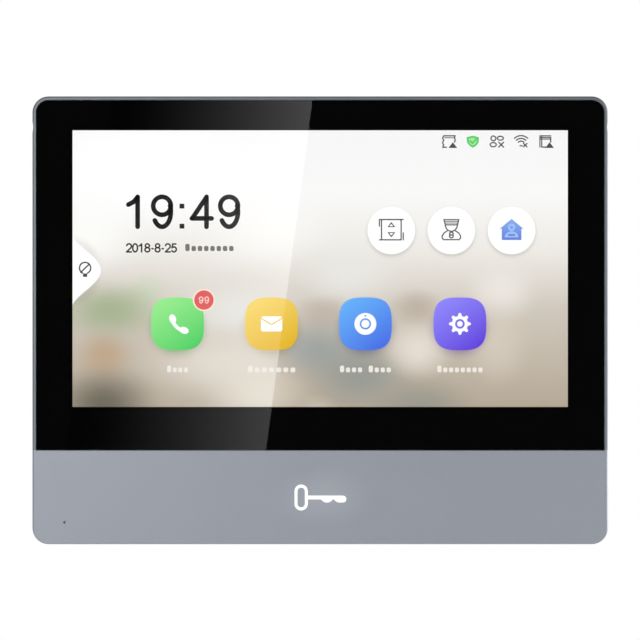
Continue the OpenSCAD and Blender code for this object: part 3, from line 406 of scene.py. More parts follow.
def layer(level):
    """The depth of a sheet that lies this many layers in front of the wallpaper."""
    return PAPER_Y - SHEET_T - level * LAYER


# The four tiles with their labels, the three round buttons, the five status signs, the badge and the side tab
TILES = [32.6, 61.8, 90.95, 120.3]
TILE_DOWN = 60.1
TILE_HALF = 8.2
TILE_POWER = 3.1
LABEL_DOWN = 74.4
BUTTONS = [99.0, 117.65, 136.35]
BUTTON_DOWN = 31.1
BUTTON_R = 7.4
ICON_DOWN = BUTTON_DOWN - 0.25
STATUS = [116.9, 124.3, 131.8, 139.3, 146.95]
STATUS_DOWN = 3.45
BADGE = (40.8, 52.7)
BADGE_R = 3.0
TAB_DOWN = 43.5

# The slanted reflection in the glass: its right edge at the body's top and at the glass's foot, how far left
# it fades and how fast, the softness of its edge, and the weight and colour of the painted reflection of it
# that is laid into the picture's colour as a haze
GLARE_TOP_X = -2.2 * MM
GLARE_FOOT_X = -16.8 * MM
GLARE_REACH = 62.0 * MM
GLARE_FALL = 2.2
GLARE_EDGE = 0.1 * MM
PAINTED_REFLECTION_WEIGHT = 0.3
PAINTED_REFLECTION_TINT = linear(240, 236, 230)
GLARE_SLANT = (GLARE_TOP_X - GLARE_FOOT_X) / (SHELL_HIGH.z - GLASS_LOW.z)

WHITE = [(0.0, grey(1.0)), (1.0, grey(1.0))]
WHITE_FADE = [(0.0, grey(0.0)), (1.0, grey(1.0))]
SCREEN_GAIN = 1.085
INK_RISE = 1.06


def ink(name, colour):
    """Plain ink on the display, a shade lighter towards the top."""
    stops = [(0.0, colour), (1.0, tinted(colour, INK_RISE))]
    return light_paint(name, stops, SCREEN_GAIN, ACTIVE_TOP - ACTIVE_H, ACTIVE_TOP)


# The wall's colour from the top of the picture down: distance down and colour
WALL = [
    (0.0, (245, 245, 245)), (20.0, (247, 247, 246)), (38.0, (235, 232, 226)),
    (55.0, (206, 198, 186)), (86.0, (178, 165, 146)),
]
# Soft patches: right, down, half width, half height, colour, weight
PATCHES = [
    (22, 12, 50, 24, (255, 255, 255), 1.0),
    (4, 33, 22, 14, (255, 255, 253), 0.7),
    (60, 30, 26, 14, (252, 251, 249), 0.55),
    (86, 45, 20, 12, (232, 231, 226), 0.8),
    (133, 50, 13, 12, (238, 233, 228), 0.75),
    (132, 66, 12, 16, (214, 203, 189), 0.75),
    (50, 56, 28, 12, (226, 224, 218), 0.9),
    (45, 72, 30, 13, (221, 213, 201), 0.85),
    (23, 51, 9, 8, (198, 210, 182), 0.7),
    (12, 56, 19, 11, (162, 177, 140), 0.95),
    (10, 70, 11, 10, (188, 163, 133), 0.95),
    (10, 85, 20, 14, (108, 102, 88), 1.0),
    (57, 82, 20, 12, (221, 212, 196), 0.8),
    (78, 57, 12, 7, (188, 174, 162), 0.75),
    (76, 68, 19, 12, (156, 161, 158), 0.95),
    (89, 76, 21, 14, (148, 151, 145), 0.95),
    (76, 87, 8, 6, (196, 189, 172), 0.85),
    (107, 68, 13, 11, (228, 220, 209), 0.95),
    (107, 55, 10, 7, (184, 170, 155), 0.8),
    (108, 86, 20, 12, (150, 148, 138), 0.9),
]
# Tints of the shadows below the four tiles, and of those below the buttons and the tab
TILE_SHADES = [(0.42, 0.62, 0.42), (0.66, 0.58, 0.36), (0.40, 0.46, 0.66), (0.50, 0.42, 0.72)]
PLAIN_SHADE = (0.45, 0.44, 0.42)
# Each shadow's distance down, half width, half height, weight and hardness
TILE_SHADOW = (TILE_DOWN + 1.3, TILE_HALF * 1.32, TILE_HALF * 1.32, 0.75, 1.8)
BUTTON_SHADOW = (BUTTON_DOWN + 0.6, BUTTON_R + 1.3, BUTTON_R + 1.3, 0.42, 3.0)
TAB_SHADOW = (TAB_DOWN + 0.3, 10.1, 12.0, 0.25, 2.5)


def wallpaper_material():
    """An out-of-focus room: a pale wall that darkens downwards, soft patches, the pieces' shadows and a
    painted glare reflection.
    """
    made = Maker("wallpaper", Roughness=PICTURE_ROUGH, Base_Color=BLACK)
    _, _, up = made.parts()
    deepest = WALL[-1][0]
    fall = made.ranged(up, ACTIVE_TOP, ACTIVE_TOP - deepest * MM)
    colour = made.ramp(fall, [(down / deepest, linear(*shade)) for down, shade in WALL])

    def spot(right, down, half_w, half_h, weight, hard=1.0):
        round_spot = made.spot(*screen(right, down), half_w * MM, half_h * MM, hard)
        return made.math("MULTIPLY", round_spot, weight)

    def shaded(base, tint, *shape):
        return made.blend(base, (*tint, 1.0), spot(*shape), "MULTIPLY")

    for right, down, half_w, half_h, shade, weight in PATCHES:
        colour = made.blend(colour, linear(*shade), spot(right, down, half_w, half_h, weight))
    for right, tint in zip(TILES, TILE_SHADES):
        colour = shaded(colour, tint, right, *TILE_SHADOW)
    for right in BUTTONS:
        colour = shaded(colour, PLAIN_SHADE, right, *BUTTON_SHADOW)
    colour = shaded(colour, PLAIN_SHADE, 0.0, *TAB_SHADOW)
    # Painted reflection: the glare's band is laid into the wallpaper's own colour as a haze, so it stays put
    # in every view
    painted_reflection = made.math("MULTIPLY", glare_fade(made), PAINTED_REFLECTION_WEIGHT)
    colour = made.blend(colour, PAINTED_REFLECTION_TINT, painted_reflection, "SCREEN")
    made.glow(colour, SCREEN_GAIN)
    return made.material


def make_wallpaper():
    """The picture's background, which runs on a little under the black border."""
    margin = 0.3 * MM
    corner = 0.2 * MM
    half_w = ACTIVE_W / 2 + margin
    outline = rounded(-half_w, half_w, ACTIVE_TOP - ACTIVE_H - margin, ACTIVE_TOP + margin, corner, 3)
    plates("display_wallpaper", [[outline]], PAPER_Y, wallpaper_material())


# ---------- digits, in a box one high, and rows of blocks ----------

DIGIT_W = 0.59
HALF_W = DIGIT_W / 2
# Signs that are not as wide as the other digits
SIGN_W = {":": 0.12, "-": 0.34, "4": 0.72}
# Each sign's closed paths and its open ones; 0 is the foot and 1 the top
DIGITS = {
    "0": ([ellipse(HALF_W, 0.5, HALF_W, 0.5)], []),
    "1": ([], [[(0.03, 0.74), (0.2, 0.83), (0.33, 0.98)], [(0.34, 1.0), (0.34, 0.0)]]),
    "2": ([], [bow(HALF_W, 0.7, HALF_W, 0.3, 165, -35) + [(0.0, 0.0)], [(0.0, 0.0), (DIGIT_W, 0.0)]]),
    "4": ([], [[(0.52, 0.98), (0.06, 0.29)], [(0.04, 0.28), (0.7, 0.28)], [(0.53, 1.0), (0.53, 0.0)]]),
    "5": ([], [[(0.53, 0.98), (0.14, 0.98), (0.07, 0.5)], bow(HALF_W, 0.31, HALF_W, 0.31, 140, -150)]),
    "8": ([ellipse(HALF_W, 0.765, DIGIT_W * 0.42, 0.235), ellipse(HALF_W, 0.27, HALF_W, 0.27)], []),
    "9": ([ellipse(HALF_W, 0.7, HALF_W, 0.3)], [bow(HALF_W, 0.5, HALF_W, 0.5, 25, -145)]),
    "-": ([], [[(0.1, 0.4), (SIGN_W["-"] - 0.1, 0.4)]]),
    ":": ([], []),
}


def colon(pen):
    """Two square dots."""
    half = 0.08
    left = pen + 0.02
    return [[rounded(left, left + 2 * half, z - half, z + half, 0.015, 3)] for z in (0.02, 0.69)]


def number(text, right, down, height, width, gap):
    """Outlines of a number whose left edge and middle height are given, in millimetres."""
    outlines = []
    pen = 0.0
    for sign in text:
        if sign == ":":
            outlines += colon(pen)
        for paths, closed in zip(DIGITS[sign], (True, False)):
            outlines += [stroke([(pen + x, z) for x, z in path], width, closed) for path in paths]
        pen += SIGN_W.get(sign, DIGIT_W) + gap
    middled = [[[(x, z - 0.5) for x, z in loop] for loop in loops] for loops in outlines]
    return placed(middled, right, down, height)


def words(counts, width, right, down, height):
    """Rows of plain blocks that stand for words.

    The counts are the blocks in each word, and the words together take the width. Each word's first block is
    taller.
    """
    filled, spacing = 0.7, 0.8
    taller, roundness = 1.4, 0.35
    pitch = width / (sum(counts) + spacing * (len(counts) - 1) - (1 - filled))
    block_w = pitch * filled
    foot = -height / 2
    pen = -width / 2
    outlines = []
    for count in counts:
        for i in range(count):
            top = foot + height * (taller if i == 0 else 1.0)
            outlines.append([rounded(pen, pen + block_w, foot, top, block_w * roundness)])
            pen += pitch
        pen += pitch * spacing
    return placed(outlines, right, down)


def make_clock():
    """The time, the date and the blocks that stand for the weekday."""
    time = number("19:49", right=17.05, down=25.3, height=9.3, width=0.158, gap=0.27)
    plates("display_clock", time, layer(1), ink("clock_ink", linear(6, 6, 6)))
    date = number("2018-8-25", right=16.8, down=36.5, height=2.5, width=0.195, gap=0.17)
    plates("display_date", date, layer(1), ink("date_ink", linear(34, 33, 32)))
    weekday = words([8], width=15.0, right=42.5, down=36.7, height=1.6)
    plates("display_date_word", weekday, layer(1), ink("date_word_ink", linear(112, 110, 108)))


def make_labels():
    """The blocks under the four tiles: how many are in each word, and their whole width."""
    rows = [([4], 6.4), ([7], 14.8), ([4, 4], 15.8), ([8], 14.0)]
    drawn = []
    for right, (counts, width) in zip(TILES, rows):
        drawn += words(counts, width, right, LABEL_DOWN, 1.5)
    plates("display_label_words", drawn, layer(1), ink("label_ink", linear(236, 230, 222)))


# ---------- tiles and their icons ----------

def handset():
    """A receiver: a thin curved grip between two bulbs."""
    grip = arc(3.45, 2.95, 5.4, 196, 254, 16)
    bulb = ellipse(0.0, -0.25, 1.45, 1.05, 28)
    outlines = [stroke(grip, 1.1)]
    for (x, z), turn in [(grip[0], 108), (grip[-1], 162)]:
        c, s = math.cos(math.radians(turn)), math.sin(math.radians(turn))
        outlines.append([[(x + px * c - pz * s, z + px * s + pz * c) for px, pz in bulb]])
    return outlines


def envelope():
    """A letter: its body with the notch that the flap leaves, and the flap."""
    body = [(-3.3, 1.5), (-3.3, -1.95), (-2.9, -2.35), (2.9, -2.35), (3.3, -1.95), (3.3, 1.5),
            (0.3, -0.3), (-0.3, -0.3)]
    flap = [(-3.2, 1.9), (-2.9, 2.35), (2.9, 2.35), (3.2, 1.9), (0.15, 0.1), (-0.15, 0.1)]
    return [[body], [flap]]


def lens():
    """A camera's ring with a small lamp hole above its pupil."""
    return [[circle(0, 0, 3.4), circle(0, 0, 1.75), circle(0, 2.5, 0.3, 16)], [circle(0, 0, 1.25)]]


def gear():
    """A wheel with eight rounded teeth."""
    teeth = 8
    pitch_r, tooth = 2.95, 0.45
    steepness, narrowing = 1.7, 0.35
    steps = 128
    outline = []
    for i in range(steps):
        t = 2 * math.pi * i / steps
        r = pitch_r + tooth * max(-1.0, min(1.0, steepness * math.cos(teeth * t) - narrowing))
        outline.append((r * math.cos(t), r * math.sin(t)))
    return [[outline, circle(0, 0, 1.5)], [circle(0, 0, 0.88, 24)]]


def make_tiles():
    """The four coloured tiles, each paler at its top right, with their icons."""
    looks = [
        ("green", handset(), (152, 238, 142), (62, 204, 92)),
        ("amber", envelope(), (247, 217, 108), (226, 178, 0)),
        ("blue", lens(), (100, 178, 250), (64, 100, 228)),
        ("violet", gear(), (144, 134, 252), (88, 52, 218)),
    ]
    tilt = -0.7
    reach = TILE_HALF * MM * 1.5
    outline = squircle(TILE_HALF, TILE_POWER)
    icons = []
    for (name, icon, top, bottom), right in zip(looks, TILES):
        cx, cz = screen(right, TILE_DOWN)
        along = cz + cx * tilt
        stops = [(0.0, linear(*bottom)), (1.0, linear(*top))]
        face = light_paint("tile_" + name, stops, SCREEN_GAIN, along - reach, along + reach, tilt)
        plates("display_tile_" + name, placed([[outline]], right, TILE_DOWN), layer(1), face)
        icons += placed(icon, right, TILE_DOWN)
    plates("display_tile_icons", icons, layer(2), ink("tile_icon_ink", linear(252, 253, 252)))


def make_badge():
    """The count at the first tile's corner: a red disc with a cream rim."""
    rim = placed([[circle(0, 0, BADGE_R + 0.45)]], *BADGE)
    disc = placed([[circle(0, 0, BADGE_R)]], *BADGE)
    right, down = BADGE
    count = number("99", right=right - 1.45, down=down, height=1.9, width=0.17, gap=0.34)
    plates("display_badge_rim", rim, layer(2), ink("badge_rim_ink", linear(248, 226, 208)))
    plates("display_badge", disc, layer(3), ink("badge_red", linear(220, 88, 88)))
    plates("display_badge_number", count, layer(4), ink("badge_number_ink", linear(246, 206, 198)))


# ---------- round buttons, side tab and status icons ----------

ICON_LINE = 0.4
THIN_LINE = ICON_LINE * 0.7


def triangle(cx, cz, size, up=1):
    foot = cz - up * size * 0.5
    tip = cz + up * size * 0.75
    return [(cx - size, foot), (cx + size, foot), (cx, tip)]


def strokes(paths, width=ICON_LINE, closed=False):
    return [stroke(path, width, closed) for path in paths]


def lift_icon():
    """A lift door with its floor lines and two arrows."""
    half_w, half_h = 3.05, 3.15
    out = 3.7
    door = [rounded(-half_w, half_w, -half_h, half_h, 0.4)]
    lines = [
        [(-out, half_h), (out, half_h)],
        [(-out, -half_h), (half_w, -half_h)],
        [(-out, half_h), (-out, 1.1)],
        [(out, -half_h), (out, -1.0)],
    ]
    arrows = [triangle(0, 1.4, 0.95), triangle(0, -1.4, 0.95, -1)]
    return strokes(door, closed=True) + strokes(lines) + strokes(arrows, closed=True)


def guard_icon():
    """A figure in a peaked cap."""
    cap = [(-2.3, 3.1), (2.3, 3.1), (1.9, 1.5), (-1.9, 1.5)]
    bands = [[(-2.0, 2.55), (2.0, 2.55)], [(-1.9, 2.05), (1.9, 2.05)]]
    chin = bow(0, 1.5, 1.85, 2.0, 180, 360)
    side = [(1.3, -0.4), (2.2, -0.95), (2.85, -1.9), (2.85, -2.6), (2.4, -3.1)]
    shoulders = [(-x, z) for x, z in side] + side[::-1]
    buttons = [ellipse(0, z, 0.6, 0.45, 20) for z in (-1.25, -2.05)]
    solid = strokes([cap], closed=True) + strokes(bands, THIN_LINE)
    return solid + strokes([chin, shoulders]) + strokes(buttons, closed=True)


def house_icon():
    """A house, and the ringed head and shoulders on it."""
    house = [(-3.7, 0.3), (0.0, 3.35), (3.7, 0.3), (3.05, 0.3), (3.05, -3.2), (-3.05, -3.2),
             (-3.05, 0.3)]
    head = [circle(0, 0.75, 1.15, 28), circle(0, 0.75, 0.5, 16)]
    shoulders = [bow(0, -2.4, 2.15, 1.9, 0, 180), rounded(-1.1, 1.1, -2.0, -1.3, 0.2)]
    return [[house]], [head, shoulders]


def make_buttons():
    """Three white discs with their icons."""
    white = ink("button_white", linear(254, 254, 254))
    line = ink("button_line", linear(84, 84, 86))
    pale = ink("house_figure_ink", linear(156, 188, 248))
    fade = 3.3
    _, low = screen(0, BUTTON_DOWN + fade)
    _, high = screen(0, BUTTON_DOWN - fade)
    blues = [(0.0, linear(96, 124, 216)), (1.0, linear(132, 172, 238))]
    blue = light_paint("house_blue", blues, SCREEN_GAIN, low, high)
    discs = []
    for right in BUTTONS:
        discs += placed([[circle(0, 0, BUTTON_R, 64)]], right, BUTTON_DOWN)
    plates("display_round_buttons", discs, layer(1), white)
    lift, guard, home = BUTTONS
    drawn = placed(lift_icon(), lift, ICON_DOWN) + placed(guard_icon(), guard, ICON_DOWN)
    plates("display_round_icons", drawn, layer(2), line)
    house, figure = house_icon()
    plates("display_house", placed(house, home, ICON_DOWN), layer(2), blue)
    plates("display_house_figure", placed(figure, home, ICON_DOWN), layer(3), pale)


def make_tab():
    """A white tab that swells out of the left edge, with a struck-out lamp."""
    white = ink("tab_white", linear(253, 253, 252))
    line = ink("tab_line", linear(52, 52, 52))
    reach, half = 8.8, 11.0
    root = reach / 2
    steps = 36
    side = []
    for i in range(1, steps):
        t = -1 + 2 * i / steps
        side.append((-root + reach * math.cos(t * math.pi / 2) ** 1.6, t * half))
    outline = [(-root, -half)] + side + [(-root, half)]
    plates("display_side_tab", placed([[outline]], root, TAB_DOWN), layer(1), white)
    width = 0.42
    bulb = arc(0, 0.55, 1.75, -65, 245, 26)
    bar = [(-1.35, -0.8), (1.3, 1.75)]
    foot = rounded(-0.65, 0.65, -2.2, -1.15, 0.2, 3)
    lamp = strokes([bulb, bar], width) + [[foot]]
    plates("display_tab_icon", placed(lamp, 3.9, TAB_DOWN - 0.2), layer(2), line)


def crossed(cx, cz, size):
    """A small cross, size away from its middle each way."""
    left, right = cx - size, cx + size
    foot, top = cz - size, cz + size
    return strokes([[(left, foot), (right, top)], [(left, top), (right, foot)]])


def status_icons():
    """The four dark signs: card, group, wireless and store."""
    mark = triangle(1.2, -1.35, 1.05)
    warning = [[mark]] + strokes([mark], closed=True)
    torn = [(-0.8, -1.8), (-1.9, -1.8), (-1.65, -1.1), (-2.0, -0.4), (-1.65, 0.4), (-2.0, 1.1), (-1.6, 1.75),
            (1.9, 1.75), (1.7, 1.1), (1.95, 0.4), (1.75, -0.2)]
    card = strokes([torn]) + strokes([[(-1.4, 1.15), (1.5, 1.15)]], THIN_LINE) + warning
    rings = [
        circle(-1.1, 0.95, 0.75, 20),
        ellipse(1.05, 1.0, 0.95, 0.6, 24),
        ellipse(-1.15, -1.0, 0.95, 0.65, 24),
    ]
    group = strokes(rings, closed=True) + crossed(1.3, -1.0, 0.7475)
    waves = [arc(0, -1.2, r, 47, 133, 12) for r in (1.3, 2.15, 3.0)]
    wireless = strokes(waves + [[(-0.3, -1.35), (0.4, -1.35)]]) + crossed(1.3, -1.15, 0.52)
    shelves = [[(-1.8, z), (1.6, z)] for z in (1.75, 1.25, 0.75)]
    posts = [[(x, 1.7), (x, -1.75)] for x in (-1.8, -1.25)]
    ends = [[(1.55, 0.9), (1.55, -0.2)], [(-1.2, -1.75), (0.0, -1.75)]]
    store = strokes(shelves + posts, ICON_LINE * 0.9) + warning + strokes(ends)
    return card, group, wireless, store


def make_status():
    """Five small signs at the top right, the second of them a green shield."""
    dark = ink("status_line", linear(72, 72, 72))
    green = ink("status_green", linear(88, 196, 96))
    pale = ink("status_pale_green", linear(150, 232, 148))
    drawn = []
    for right, icon in zip(STATUS[:1] + STATUS[2:], status_icons()):
        drawn += placed(icon, right, STATUS_DOWN)
    plates("display_status_icons", drawn, layer(1), dark)

    here = (STATUS[1], STATUS_DOWN)
    shield = [(0, 1.8), (1.9, 1.3), (1.8, -0.3), (1.1, -1.3), (0, -1.95), (-1.1, -1.3), (-1.8, -0.3),
              (-1.9, 1.3)]
    plates("display_status_shield", placed([[shield]], *here), layer(1), green)
    plates("display_status_shield_face", placed([[shield]], *here, 0.66), layer(2), pale)
    tick = strokes([[(-0.8, 0.15), (-0.1, -0.55), (0.95, 0.65)]], 0.5)
    plates("display_status_tick", placed(tick, *here), layer(3), green)


# ---------- finishes of the CAD parts ----------

SHARP_ANGLE = 35.0
WELD_RANGE = 0.002 * MM
BEVEL_STEPS = 2
CASE_EDGE = 0.3 * MM
PLATE_EDGE = 0.15 * MM


def soften(node, width):
    """Rounds a CAD part's sharp edges a little, with modifiers only."""
    part = NODES[node]
    weld = part.modifiers.new("weld", "WELD")
    weld.merge_threshold = WELD_RANGE
    bevel = part.modifiers.new("bevel", "BEVEL")
    bevel.width = width
    bevel.segments = BEVEL_STEPS
    bevel.limit_method = "ANGLE"
    bevel.angle_limit = math.radians(SHARP_ANGLE)
    bevel.use_clamp_overlap = True
    bevel.harden_normals = False


def paint(material, *nodes):
    for node in nodes:
        part = NODES[node]
        part.data.materials.clear()
        part.data.materials.append(material)


FLAKES = 9000.0
FLAKE_DETAIL = 2.0
FLAKE_SHADES = (0.95, 1.05)
FLAKE_BUMP = 0.12
FLAKE_DEPTH = 0.01 * MM
SILVER_ROUGH = 0.41
SILVER_WANDER = 0.03
SILVER_PATCHES = 150.0
# Painted shade on the face of the rim round the glass: its colour factor, how far above the glass's foot it
# sets in, and the depths behind the face between which it fades out (the painted key glow uses the same
# depths)
RIM_PAINTED_SHADE = (0.6, 0.6, 0.57, 1.0)
RIM_FADE_UP = 0.3 * MM
FACE_FADE = (0.4 * MM, 0.8 * MM)
# Painted glow of the key's light on the frame: how far it reaches past the key beside and above, and its
# strength
KEY_SPILL = (4.0 * MM, 3.5 * MM)
KEY_GLOW = 0.05


def silver_paint():
    """Fine metallic paint, with painted shade darkening the rim round the glass and the key's light painted
    on as a glow.
    """
    made = Maker("silver_paint", Metallic=0.75)
    flakes = made.noise(FLAKES, FLAKE_DETAIL)
    base = linear(168, 173, 183)
    dark, pale = FLAKE_SHADES
    flaked = made.ramp(flakes, [(NOISE_LOW, tinted(base, dark)), (NOISE_HIGH, tinted(base, pale))])
    _, ahead, up = made.parts()
    # Painted shade: the paint's colour is darkened on the face of the rim round the glass
    beside_glass = made.ranged(up, GLASS_LOW.z, GLASS_LOW.z + RIM_FADE_UP)
    full, gone = FACE_FADE
    near_face = made.ranged(ahead, FACE_Y + full, FACE_Y + gone, 1.0, 0.0)
    rim = made.math("MULTIPLY", beside_glass, near_face)
    made.colour(made.blend(flaked, RIM_PAINTED_SHADE, rim, "MULTIPLY"))
    made.wander(SILVER_ROUGH, SILVER_WANDER, SILVER_PATCHES)
    made.bump(flakes, FLAKE_BUMP, FLAKE_DEPTH)
    # Painted glow: emission round the key stands in for its light falling on the frame
    middle = (KEY_LOW + KEY_HIGH) / 2
    half = (KEY_HIGH - KEY_LOW) / 2
    beside, above = KEY_SPILL
    spill = made.spot(middle.x, middle.z, half.x + beside, half.z + above)
    shine = made.math("MULTIPLY", made.math("MULTIPLY", spill, near_face), KEY_GLOW)
    made.glow(made.ramp(shine, WHITE_FADE), 1.0)
    return made.material


def finish_cad_parts():
    steel = brushed("sheet_steel", linear(190, 192, 196), 0.35)
    screw = brushed("screw_steel", linear(150, 152, 156), 0.3)
    tin = brushed("tinplate", linear(212, 213, 214), 0.28)
    black = grained("chip_black", linear(38, 38, 41), 0.55, 0.15)
    white = grained("white_plastic", linear(240, 240, 237), 0.5, 0.03)
    foam = grained("black_foam", linear(30, 30, 32), 0.85, 0.25, 3000.0, 0.4)
    board = grained("circuit_board", linear(26, 92, 56), 0.35, 0.12, 700.0, 0.1)
    green = grained("terminal_green", linear(58, 132, 84), 0.45, 0.06, 2500.0, 0.15)
    film = grained("ribbon_film", linear(176, 116, 40), 0.35, 0.1)
    gold = brushed("gold_contact", linear(222, 184, 96), 0.25)
    cover = grained("rear_plastic", linear(214, 216, 220), 0.55, 0.03, 4000.0, 0.35)
    paint(silver_paint(), "front_frame")
    ink_black = (0.0012, 0.0008, 0.0006, 1.0)
    mask = grained("black_ink", ink_black, 0.5, 0.2, 1500.0, 0.0, Specular_IOR_Level=0.0)
    paint(mask, "glass_mask")
    glass = Maker("clear_glass", Base_Color=(1.0, 1.0, 1.0, 1.0), Transmission_Weight=1.0, IOR=1.5)
    glass.rough(glass.ramp(glass.noise(60.0), [(0.4, grey(0.0)), (0.9, grey(0.01))]))
    paint(glass.material, "cover_glass")
    paint(foam, "glass_adhesive", "lcd_foam", "speaker_gasket")
    paint(black, "lcd_cell", "processor", "small_chips", "inductors", "transformer", "coin_cell_holder",
          "reset_switch")
    paint(white, "backlight_frame", "diffuser_sheets", "light_guide_plate")
    paint(light_paint("key_glow", WHITE, 1.15), "key_light_guide")
    paint(grained("led_package", linear(250, 236, 170), 0.3, 0.05), "backlight_leds", "key_leds")
    paint(steel, "lcd_back_plate", "panel_bracket", "speaker_basket", "wall_plate")
    paint(screw, "bracket_screws", "key_screws", "board_screws", "rear_screws", "locking_screw",
          "power_plug_screws", "alarm_plug_screws")
    paint(tin, "rf_shield", "wifi_module", "network_jack", "mic_capsule", "coin_cell")
    paint(board, "key_board", "main_board")
    paint(green, "power_header", "alarm_header", "power_plug", "alarm_plug")
    paint(film, "lcd_ribbon", "touch_ribbon", "wifi_antenna")
    paint(white, "key_ribbon", "board_sockets")
    paint(gold, "jack_contacts", "connector_pins", "lock_insert")
    rubber = grained("black_rubber", linear(34, 34, 36), 0.7, 0.15, 2000.0, 0.2)
    paint(rubber, "mic_boot", "speaker_wires", "antenna_coax")
    paint(grained("red_wire", linear(176, 48, 44), 0.5, 0.08), "mic_wires")
    paint(grained("magnet_dark", linear(62, 64, 70), 0.4, 0.1), "speaker_magnet")
    paint(grained("paper_cone", linear(56, 52, 48), 0.9, 0.2, 2500.0, 0.5), "speaker_cone")
    paint(grained("thermal_pad", linear(150, 178, 212), 0.8, 0.06), "thermal_pad")
    paint(grained("capacitor_blue", linear(44, 72, 118), 0.35, 0.08), "capacitors")
    paint(grained("button_grey", linear(206, 207, 210), 0.5, 0.05), "reset_button")
    paint(cover, "rear_cover")
    paint(grained("label_film", linear(232, 234, 236), 0.35, 0.02, 800.0), "rating_label")
    soften("front_frame", CASE_EDGE)
    soften("rear_cover", CASE_EDGE)
    soften("wall_plate", PLATE_EDGE)


# ---------- studio ----------

# The room that reflections see: how bright each part is, and the range of directions in which it sets in
ROOM_LIGHT = 0.5
FLAG_LIGHT = 0.05
FLAG_RANGE = (0.35, 0.85)
RIGHT_LIGHT = 0.95
RIGHT_RANGE = (0.55, 0.85)
FRONT_LIGHT = 0.04
FRONT_RANGE = (-0.97, -0.85)
GLARE = 1.5
GLARE_FOOT_SHARE = 0.75
FLOOR_R = 0.9
# The shares of the radius squared between which the floor fades
FLOOR_FADE = (0.1, 0.8)
FLOOR_DROP = 0.16
FLOOR_STEPS = 96
FLOOR_SHADE = 0.8
FLOOR_GLOW = 0.3
SOFTBOX_AHEAD = 0.5


def make_floor():
    """A pale round floor that fades into the white surroundings."""
    mesh = bpy.data.meshes.new("floor")
    edge = [(x, y, -FLOOR_DROP) for x, y in circle(0, 0, FLOOR_R, FLOOR_STEPS)]
    mesh.from_pydata(edge, [], [tuple(range(FLOOR_STEPS))])
    floor = bpy.data.objects.new("floor", mesh)
    bpy.context.scene.collection.objects.link(floor)
    made = Maker("floor_pale", Roughness=0.8)
    across, ahead, _ = made.parts()
    square = made.math("ADD", made.math("MULTIPLY", across, across), made.math("MULTIPLY", ahead, ahead))
    near, far = FLOOR_FADE
    out = made.ranged(square, near * FLOOR_R * FLOOR_R, far * FLOOR_R * FLOOR_R)
    made.colour(made.ramp(out, [(0.0, grey(FLOOR_SHADE)), (1.0, grey(0.0))]))
    made.glow(made.ramp(out, [(0.0, grey(FLOOR_GLOW)), (1.0, grey(1.0))]), 1.0)
    mesh.materials.append(made.material)


def area_light(name, place, size, watts):
    """A softbox that faces the middle of the object's front and doesn't show itself."""
    data = bpy.data.lights.new(name, "AREA")
    data.shape = "RECTANGLE"
    data.size, data.size_y = size
    data.energy = watts
    light = bpy.data.objects.new(name, data)
    bpy.context.scene.collection.objects.link(light)
    light.location = place
    light.rotation_euler = (Vector((0.0, FACE_Y, 0.0)) - Vector(place)).to_track_quat("-Z", "Y").to_euler()
    light.visible_camera = False


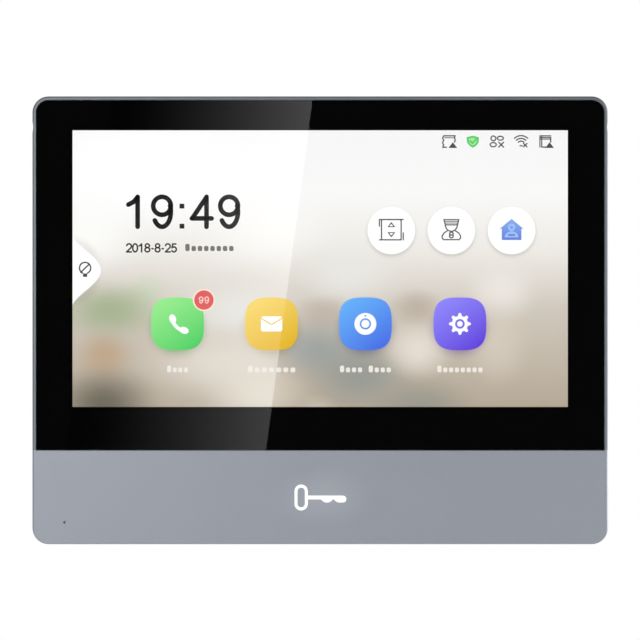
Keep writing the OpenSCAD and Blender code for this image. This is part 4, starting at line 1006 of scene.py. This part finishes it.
def make_world():
    """White behind the object.

    Light and reflections see a room with dark flags round the object's edges, except on the right, and a dark
    patch straight in front of the glass.
    """
    world = bpy.data.worlds.new("studio")
    bpy.context.scene.world = world
    world.use_nodes = True
    tree = world.node_tree
    tree.nodes.clear()

    def join(out, into):
        tree.links.new(out, into)

    def ranged(value, from_min, from_max, to_min, to_max):
        made = tree.nodes.new("ShaderNodeMapRange")
        join(value, made.inputs["Value"])
        made.inputs["From Min"].default_value = from_min
        made.inputs["From Max"].default_value = from_max
        made.inputs["To Min"].default_value = to_min
        made.inputs["To Max"].default_value = to_max
        return made.outputs["Result"]

    def combined(operation, first, second):
        made = tree.nodes.new("ShaderNodeMath")
        made.operation = operation
        join(first, made.inputs[0])
        join(second, made.inputs[1])
        return made.outputs[0]

    place = tree.nodes.new("ShaderNodeTexCoord")
    parts = tree.nodes.new("ShaderNodeSeparateXYZ")
    join(place.outputs["Generated"], parts.inputs[0])
    across, ahead = parts.outputs["X"], parts.outputs["Y"]
    size = tree.nodes.new("ShaderNodeMath")
    size.operation = "ABSOLUTE"
    join(ahead, size.inputs[0])
    flags = ranged(size.outputs[0], *FLAG_RANGE, FLAG_LIGHT, ROOM_LIGHT)
    right_wall = ranged(across, *RIGHT_RANGE, 0.0, RIGHT_LIGHT)
    front = ranged(ahead, *FRONT_RANGE, FRONT_LIGHT, 1.0)
    room = combined("MULTIPLY", combined("ADD", flags, right_wall), front)
    rays = tree.nodes.new("ShaderNodeLightPath")
    mix = tree.nodes.new("ShaderNodeMix")
    unseen, seen = MIX_NUMBERS
    mix.inputs[seen].default_value = 1.0
    join(rays.outputs["Is Camera Ray"], mix.inputs[MIX_FACTOR])
    join(room, mix.inputs[unseen])
    background = tree.nodes.new("ShaderNodeBackground")
    background.inputs["Color"].default_value = (1.0, 1.0, 1.0, 1.0)
    out = tree.nodes.new("ShaderNodeOutputWorld")
    join(mix.outputs[MIX_NUMBER_OUT], background.inputs["Strength"])
    join(background.outputs[0], out.inputs[0])


def make_glare():
    """A softbox that only shows as a slanted reflection in the glass."""
    growth = 1 + SOFTBOX_AHEAD / CAMERA_DISTANCE
    top, bottom = SHELL_HIGH.z, GLASS_LOW.z
    corners = [
        (GLARE_TOP_X, top),
        (GLARE_TOP_X - GLARE_REACH, top),
        (GLARE_FOOT_X - GLARE_REACH, bottom),
        (GLARE_FOOT_X, bottom),
    ]
    y = GLASS_LOW.y - SOFTBOX_AHEAD
    mesh = bpy.data.meshes.new("softbox")
    mesh.from_pydata([(x * growth, y, z * growth) for x, z in corners], [], [(0, 1, 2, 3)])
    card = bpy.data.objects.new("softbox", mesh)
    bpy.context.scene.collection.objects.link(card)
    made = Maker("softbox_light")
    tree = made.tree
    height = made.ranged(made.parts()[2], bottom * growth, top * growth, GLARE_FOOT_SHARE, 1.0)
    emission = tree.nodes.new("ShaderNodeEmission")
    bright = made.math("MULTIPLY", made.math("MULTIPLY", glare_fade(made, growth), height), GLARE)
    made.link(bright, emission.inputs["Strength"])
    made.link(emission.outputs[0], tree.nodes["Material Output"].inputs["Surface"])
    mesh.materials.append(made.material)
    card.visible_camera = False
    card.visible_diffuse = False
    card.visible_transmission = False
    card.visible_shadow = False


LIGHTS = [
    ("key_light", (-0.26, -0.8, 0.12), (0.25, 0.35), 1.02),
    ("fill_light", (0.32, -0.9, -0.1), (0.3, 0.4), 0.72),
    ("low_light", (0.02, -0.8, -0.35), (0.3, 0.15), 0.46),
    ("rim_light", (0.9, 0.05, 0.1), (0.3, 0.6), 1.6),
    ("back_light", (-0.5, 0.9, 0.6), (0.8, 0.8), 6.0),
]


bpy.context.scene.view_settings.view_transform = "Standard"
make_camera()
make_world()
make_floor()
for name, place, size, watts in LIGHTS:
    area_light(name, place, size, watts)
make_glare()
finish_cad_parts()
make_wallpaper()
make_clock()
make_labels()
make_tiles()
make_badge()
make_buttons()
make_tab()
make_status()
